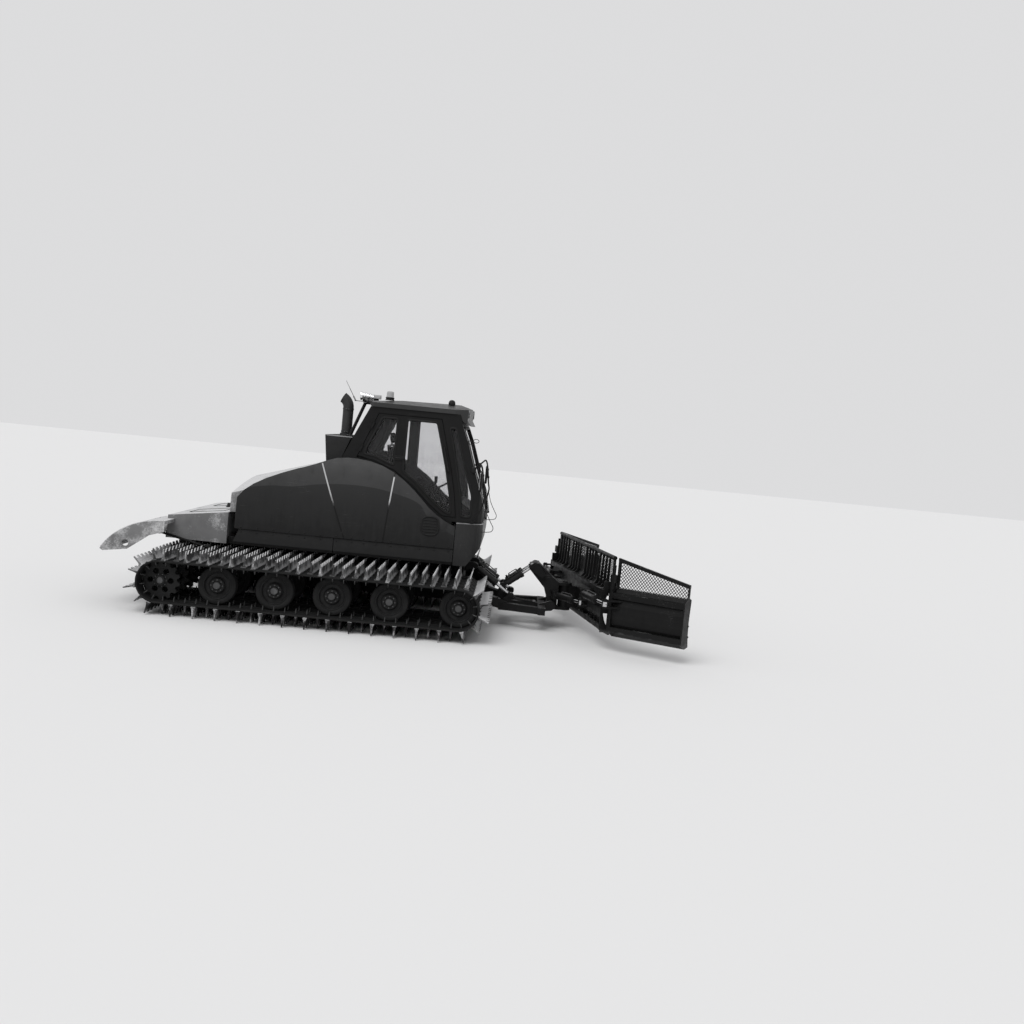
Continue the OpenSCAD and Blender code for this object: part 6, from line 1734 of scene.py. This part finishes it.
def make_controls():
    """Levers, keys, screen, dials, vents, sun visor and steering wheel."""
    grip = revolve([(0, -0.045), (0.016, -0.044), (0.021, -0.020), (0.019, 0.010), (0.023, 0.035),
                    (0.018, 0.050), (0, 0.055)], 18, "z")
    grips = merged([moved(grip, (3.232, y, 1.925)) for y in (-0.040, 0.040)])
    boot = revolve([(0.036, 0), (0.034, 0.006), (0.036, 0.010), (0.028, 0.020), (0.030, 0.024),
                    (0.022, 0.036), (0.024, 0.040), (0.016, 0.052), (0, 0.052)], 24, "z")
    boots = merged([moved(boot, (3.182, y, 1.620)) for y in (-0.040, 0.040)])
    keys = np.array([(2.78 + 0.055 * i, -0.042 + 0.028 * j, 1.620) for i in range(5) for j in range(4)])
    buttons = repeated(block((0.030, 0.018, 0.010), 0.003, (0, 0, 0.005)), keys, np.eye(3))
    glass = block((0.003, 0.245, 0.160), 0.001, (3.4638, -0.420, 1.945))
    ring = rounded([(-0.550, 1.860), (-0.290, 1.860), (-0.290, 2.030), (-0.550, 2.030)], 0.02)
    bezel = sweep(np.c_[np.full(len(ring), 3.4640), ring], circle(0.006, 8), up=(-1, 0, 0), closed=True)
    slope = frame_to((-0.42, 0, 1.0), up=(0, 1, 0))
    dial = revolve([(0.040, -0.002), (0.040, 0.008), (0.036, 0.010), (0.034, 0.004), (0, 0.003)], 28, "z")
    dials = repeated(dial, [(3.462, y, 1.626) for y in (0.18, 0.28, 0.38)], slope)
    slots = [(3.590 + 0.016 * k, y, 1.692) for y in (-0.30, 0.0, 0.30) for k in range(4)]
    vents = repeated(block((0.012, 0.090, 0.004), 0.001), slots, np.eye(3))
    knots = [(3.38, 0.20, 1.585), (3.30, 0.20, 1.72), (3.262, 0.20, 1.80)]
    yoke = pipe(smooth_path(knots, 12), 0.018, 10, up=(0, 1, 0))
    turn = np.arange(40) / 40 * 2 * math.pi
    axis = frame_to((-0.50, 0, 0.86), up=(0, 1, 0))
    middle = np.array([3.262, 0.20, 1.812])
    hoop = middle + (np.cos(turn)[:, None] * axis[0] + np.sin(turn)[:, None] * axis[1]) * 0.165
    wheel = sweep(hoop, circle(0.013, 10), up=tuple(axis[2]), closed=True)
    ends = [middle + (math.cos(a) * axis[0] + math.sin(a) * axis[1]) * 0.160 for a in (0.5, 2.6, 4.7)]
    spokes = merged([pipe([middle, end], 0.009, 8) for end in ends])
    hub = revolve([(0.036, -0.012), (0.038, 0.006), (0.030, 0.014), (0, 0.016)], 24, "z")
    hub = repeated(hub, [middle], axis)
    visor = moved(superbox((0.012, 0.300, 0.075), 7), (3.470, -0.36, 2.700))
    dark = merged([grips, boots, buttons, dials, bezel, wheel, spokes, hub, yoke])
    parts = [(dark, F["trim"]), (vents, F["seal"]), (glass, F["screen"]), (visor, F["cloth"])]
    piece("controls", parts, "machine")


make_seats()
make_controls()


# Camera and stage

# The camera's focal length in pixels of the picture's 1024, its place from the sprockets' axis, and its tilt
CAMERA_FOCAL, CAMERA_PLACE, CAMERA_DOWN, CAMERA_ROLL = 1180, (4.347, -16.7, 2.743), 4.0, 5.5
# Tones of the floor, and of the sky as it lights and as it is seen
FLOOR_TONE, SKY_LIGHT, SKY_SEEN = 0.78, 0.62, 0.72


def make_camera():
    """Beside the machine's right, a little down and rolled, as the photograph looks."""
    data = bpy.data.cameras.new("camera")
    data.sensor_width = 36.0
    data.lens = CAMERA_FOCAL / 1024 * data.sensor_width
    camera = bpy.data.objects.new("camera", data)
    bpy.context.scene.collection.objects.link(camera)
    down, roll = math.radians(CAMERA_DOWN), math.radians(CAMERA_ROLL)
    camera.matrix_world = (Matrix.Translation(Vector(ORIGIN) + Vector(CAMERA_PLACE))
                           @ Matrix.Rotation(math.radians(90) - down, 4, "X") @ Matrix.Rotation(roll, 4, "Z"))
    bpy.context.scene.camera = camera


def pale_material(name, tone):
    """The floor's plain matt finish."""
    material = bpy.data.materials.new(name)
    material.use_nodes = True
    shader = material.node_tree.nodes["Principled BSDF"]
    shader.inputs["Base Color"].default_value = (tone, tone, tone, 1)
    shader.inputs["Roughness"].default_value = 0.9
    shader.inputs["Specular IOR Level"].default_value = 0.1
    return material


def make_stage():
    """A wide floor, an even sky, seen paler than it lights, and one soft sun."""
    ground = bpy.data.meshes.new("floor")
    ground.from_pydata([(-60, -60, 0), (60, -60, 0), (60, 60, 0), (-60, 60, 0)], [], [(0, 1, 2, 3)])
    ground.materials.append(pale_material("pale_floor", FLOOR_TONE))
    floor = bpy.data.objects.new("floor", ground)
    bpy.context.scene.collection.objects.link(floor)
    world = bpy.data.worlds.new("studio")
    bpy.context.scene.world = world
    world.use_nodes = True
    tree = world.node_tree
    back = tree.nodes["Background"]
    rays = tree.nodes.new("ShaderNodeLightPath").outputs
    through = calc(tree, "MAXIMUM", rays["Is Glossy Ray"], rays["Is Transmission Ray"])
    seen = calc(tree, "MAXIMUM", rays["Is Camera Ray"], through)
    tree.links.new(mixed(tree, seen, SKY_LIGHT, SKY_SEEN), back.inputs["Color"])
    back.inputs["Strength"].default_value = 1.0
    sun = bpy.data.lights.new("soft_key", "SUN")
    sun.energy = 1.6
    sun.angle = math.radians(40)
    key = bpy.data.objects.new("soft_key", sun)
    key.rotation_euler = (math.radians(38), math.radians(-8), math.radians(-18))
    bpy.context.scene.collection.objects.link(key)


make_camera()
make_stage()
scene = bpy.context.scene
scene.view_settings.view_transform = "Standard"
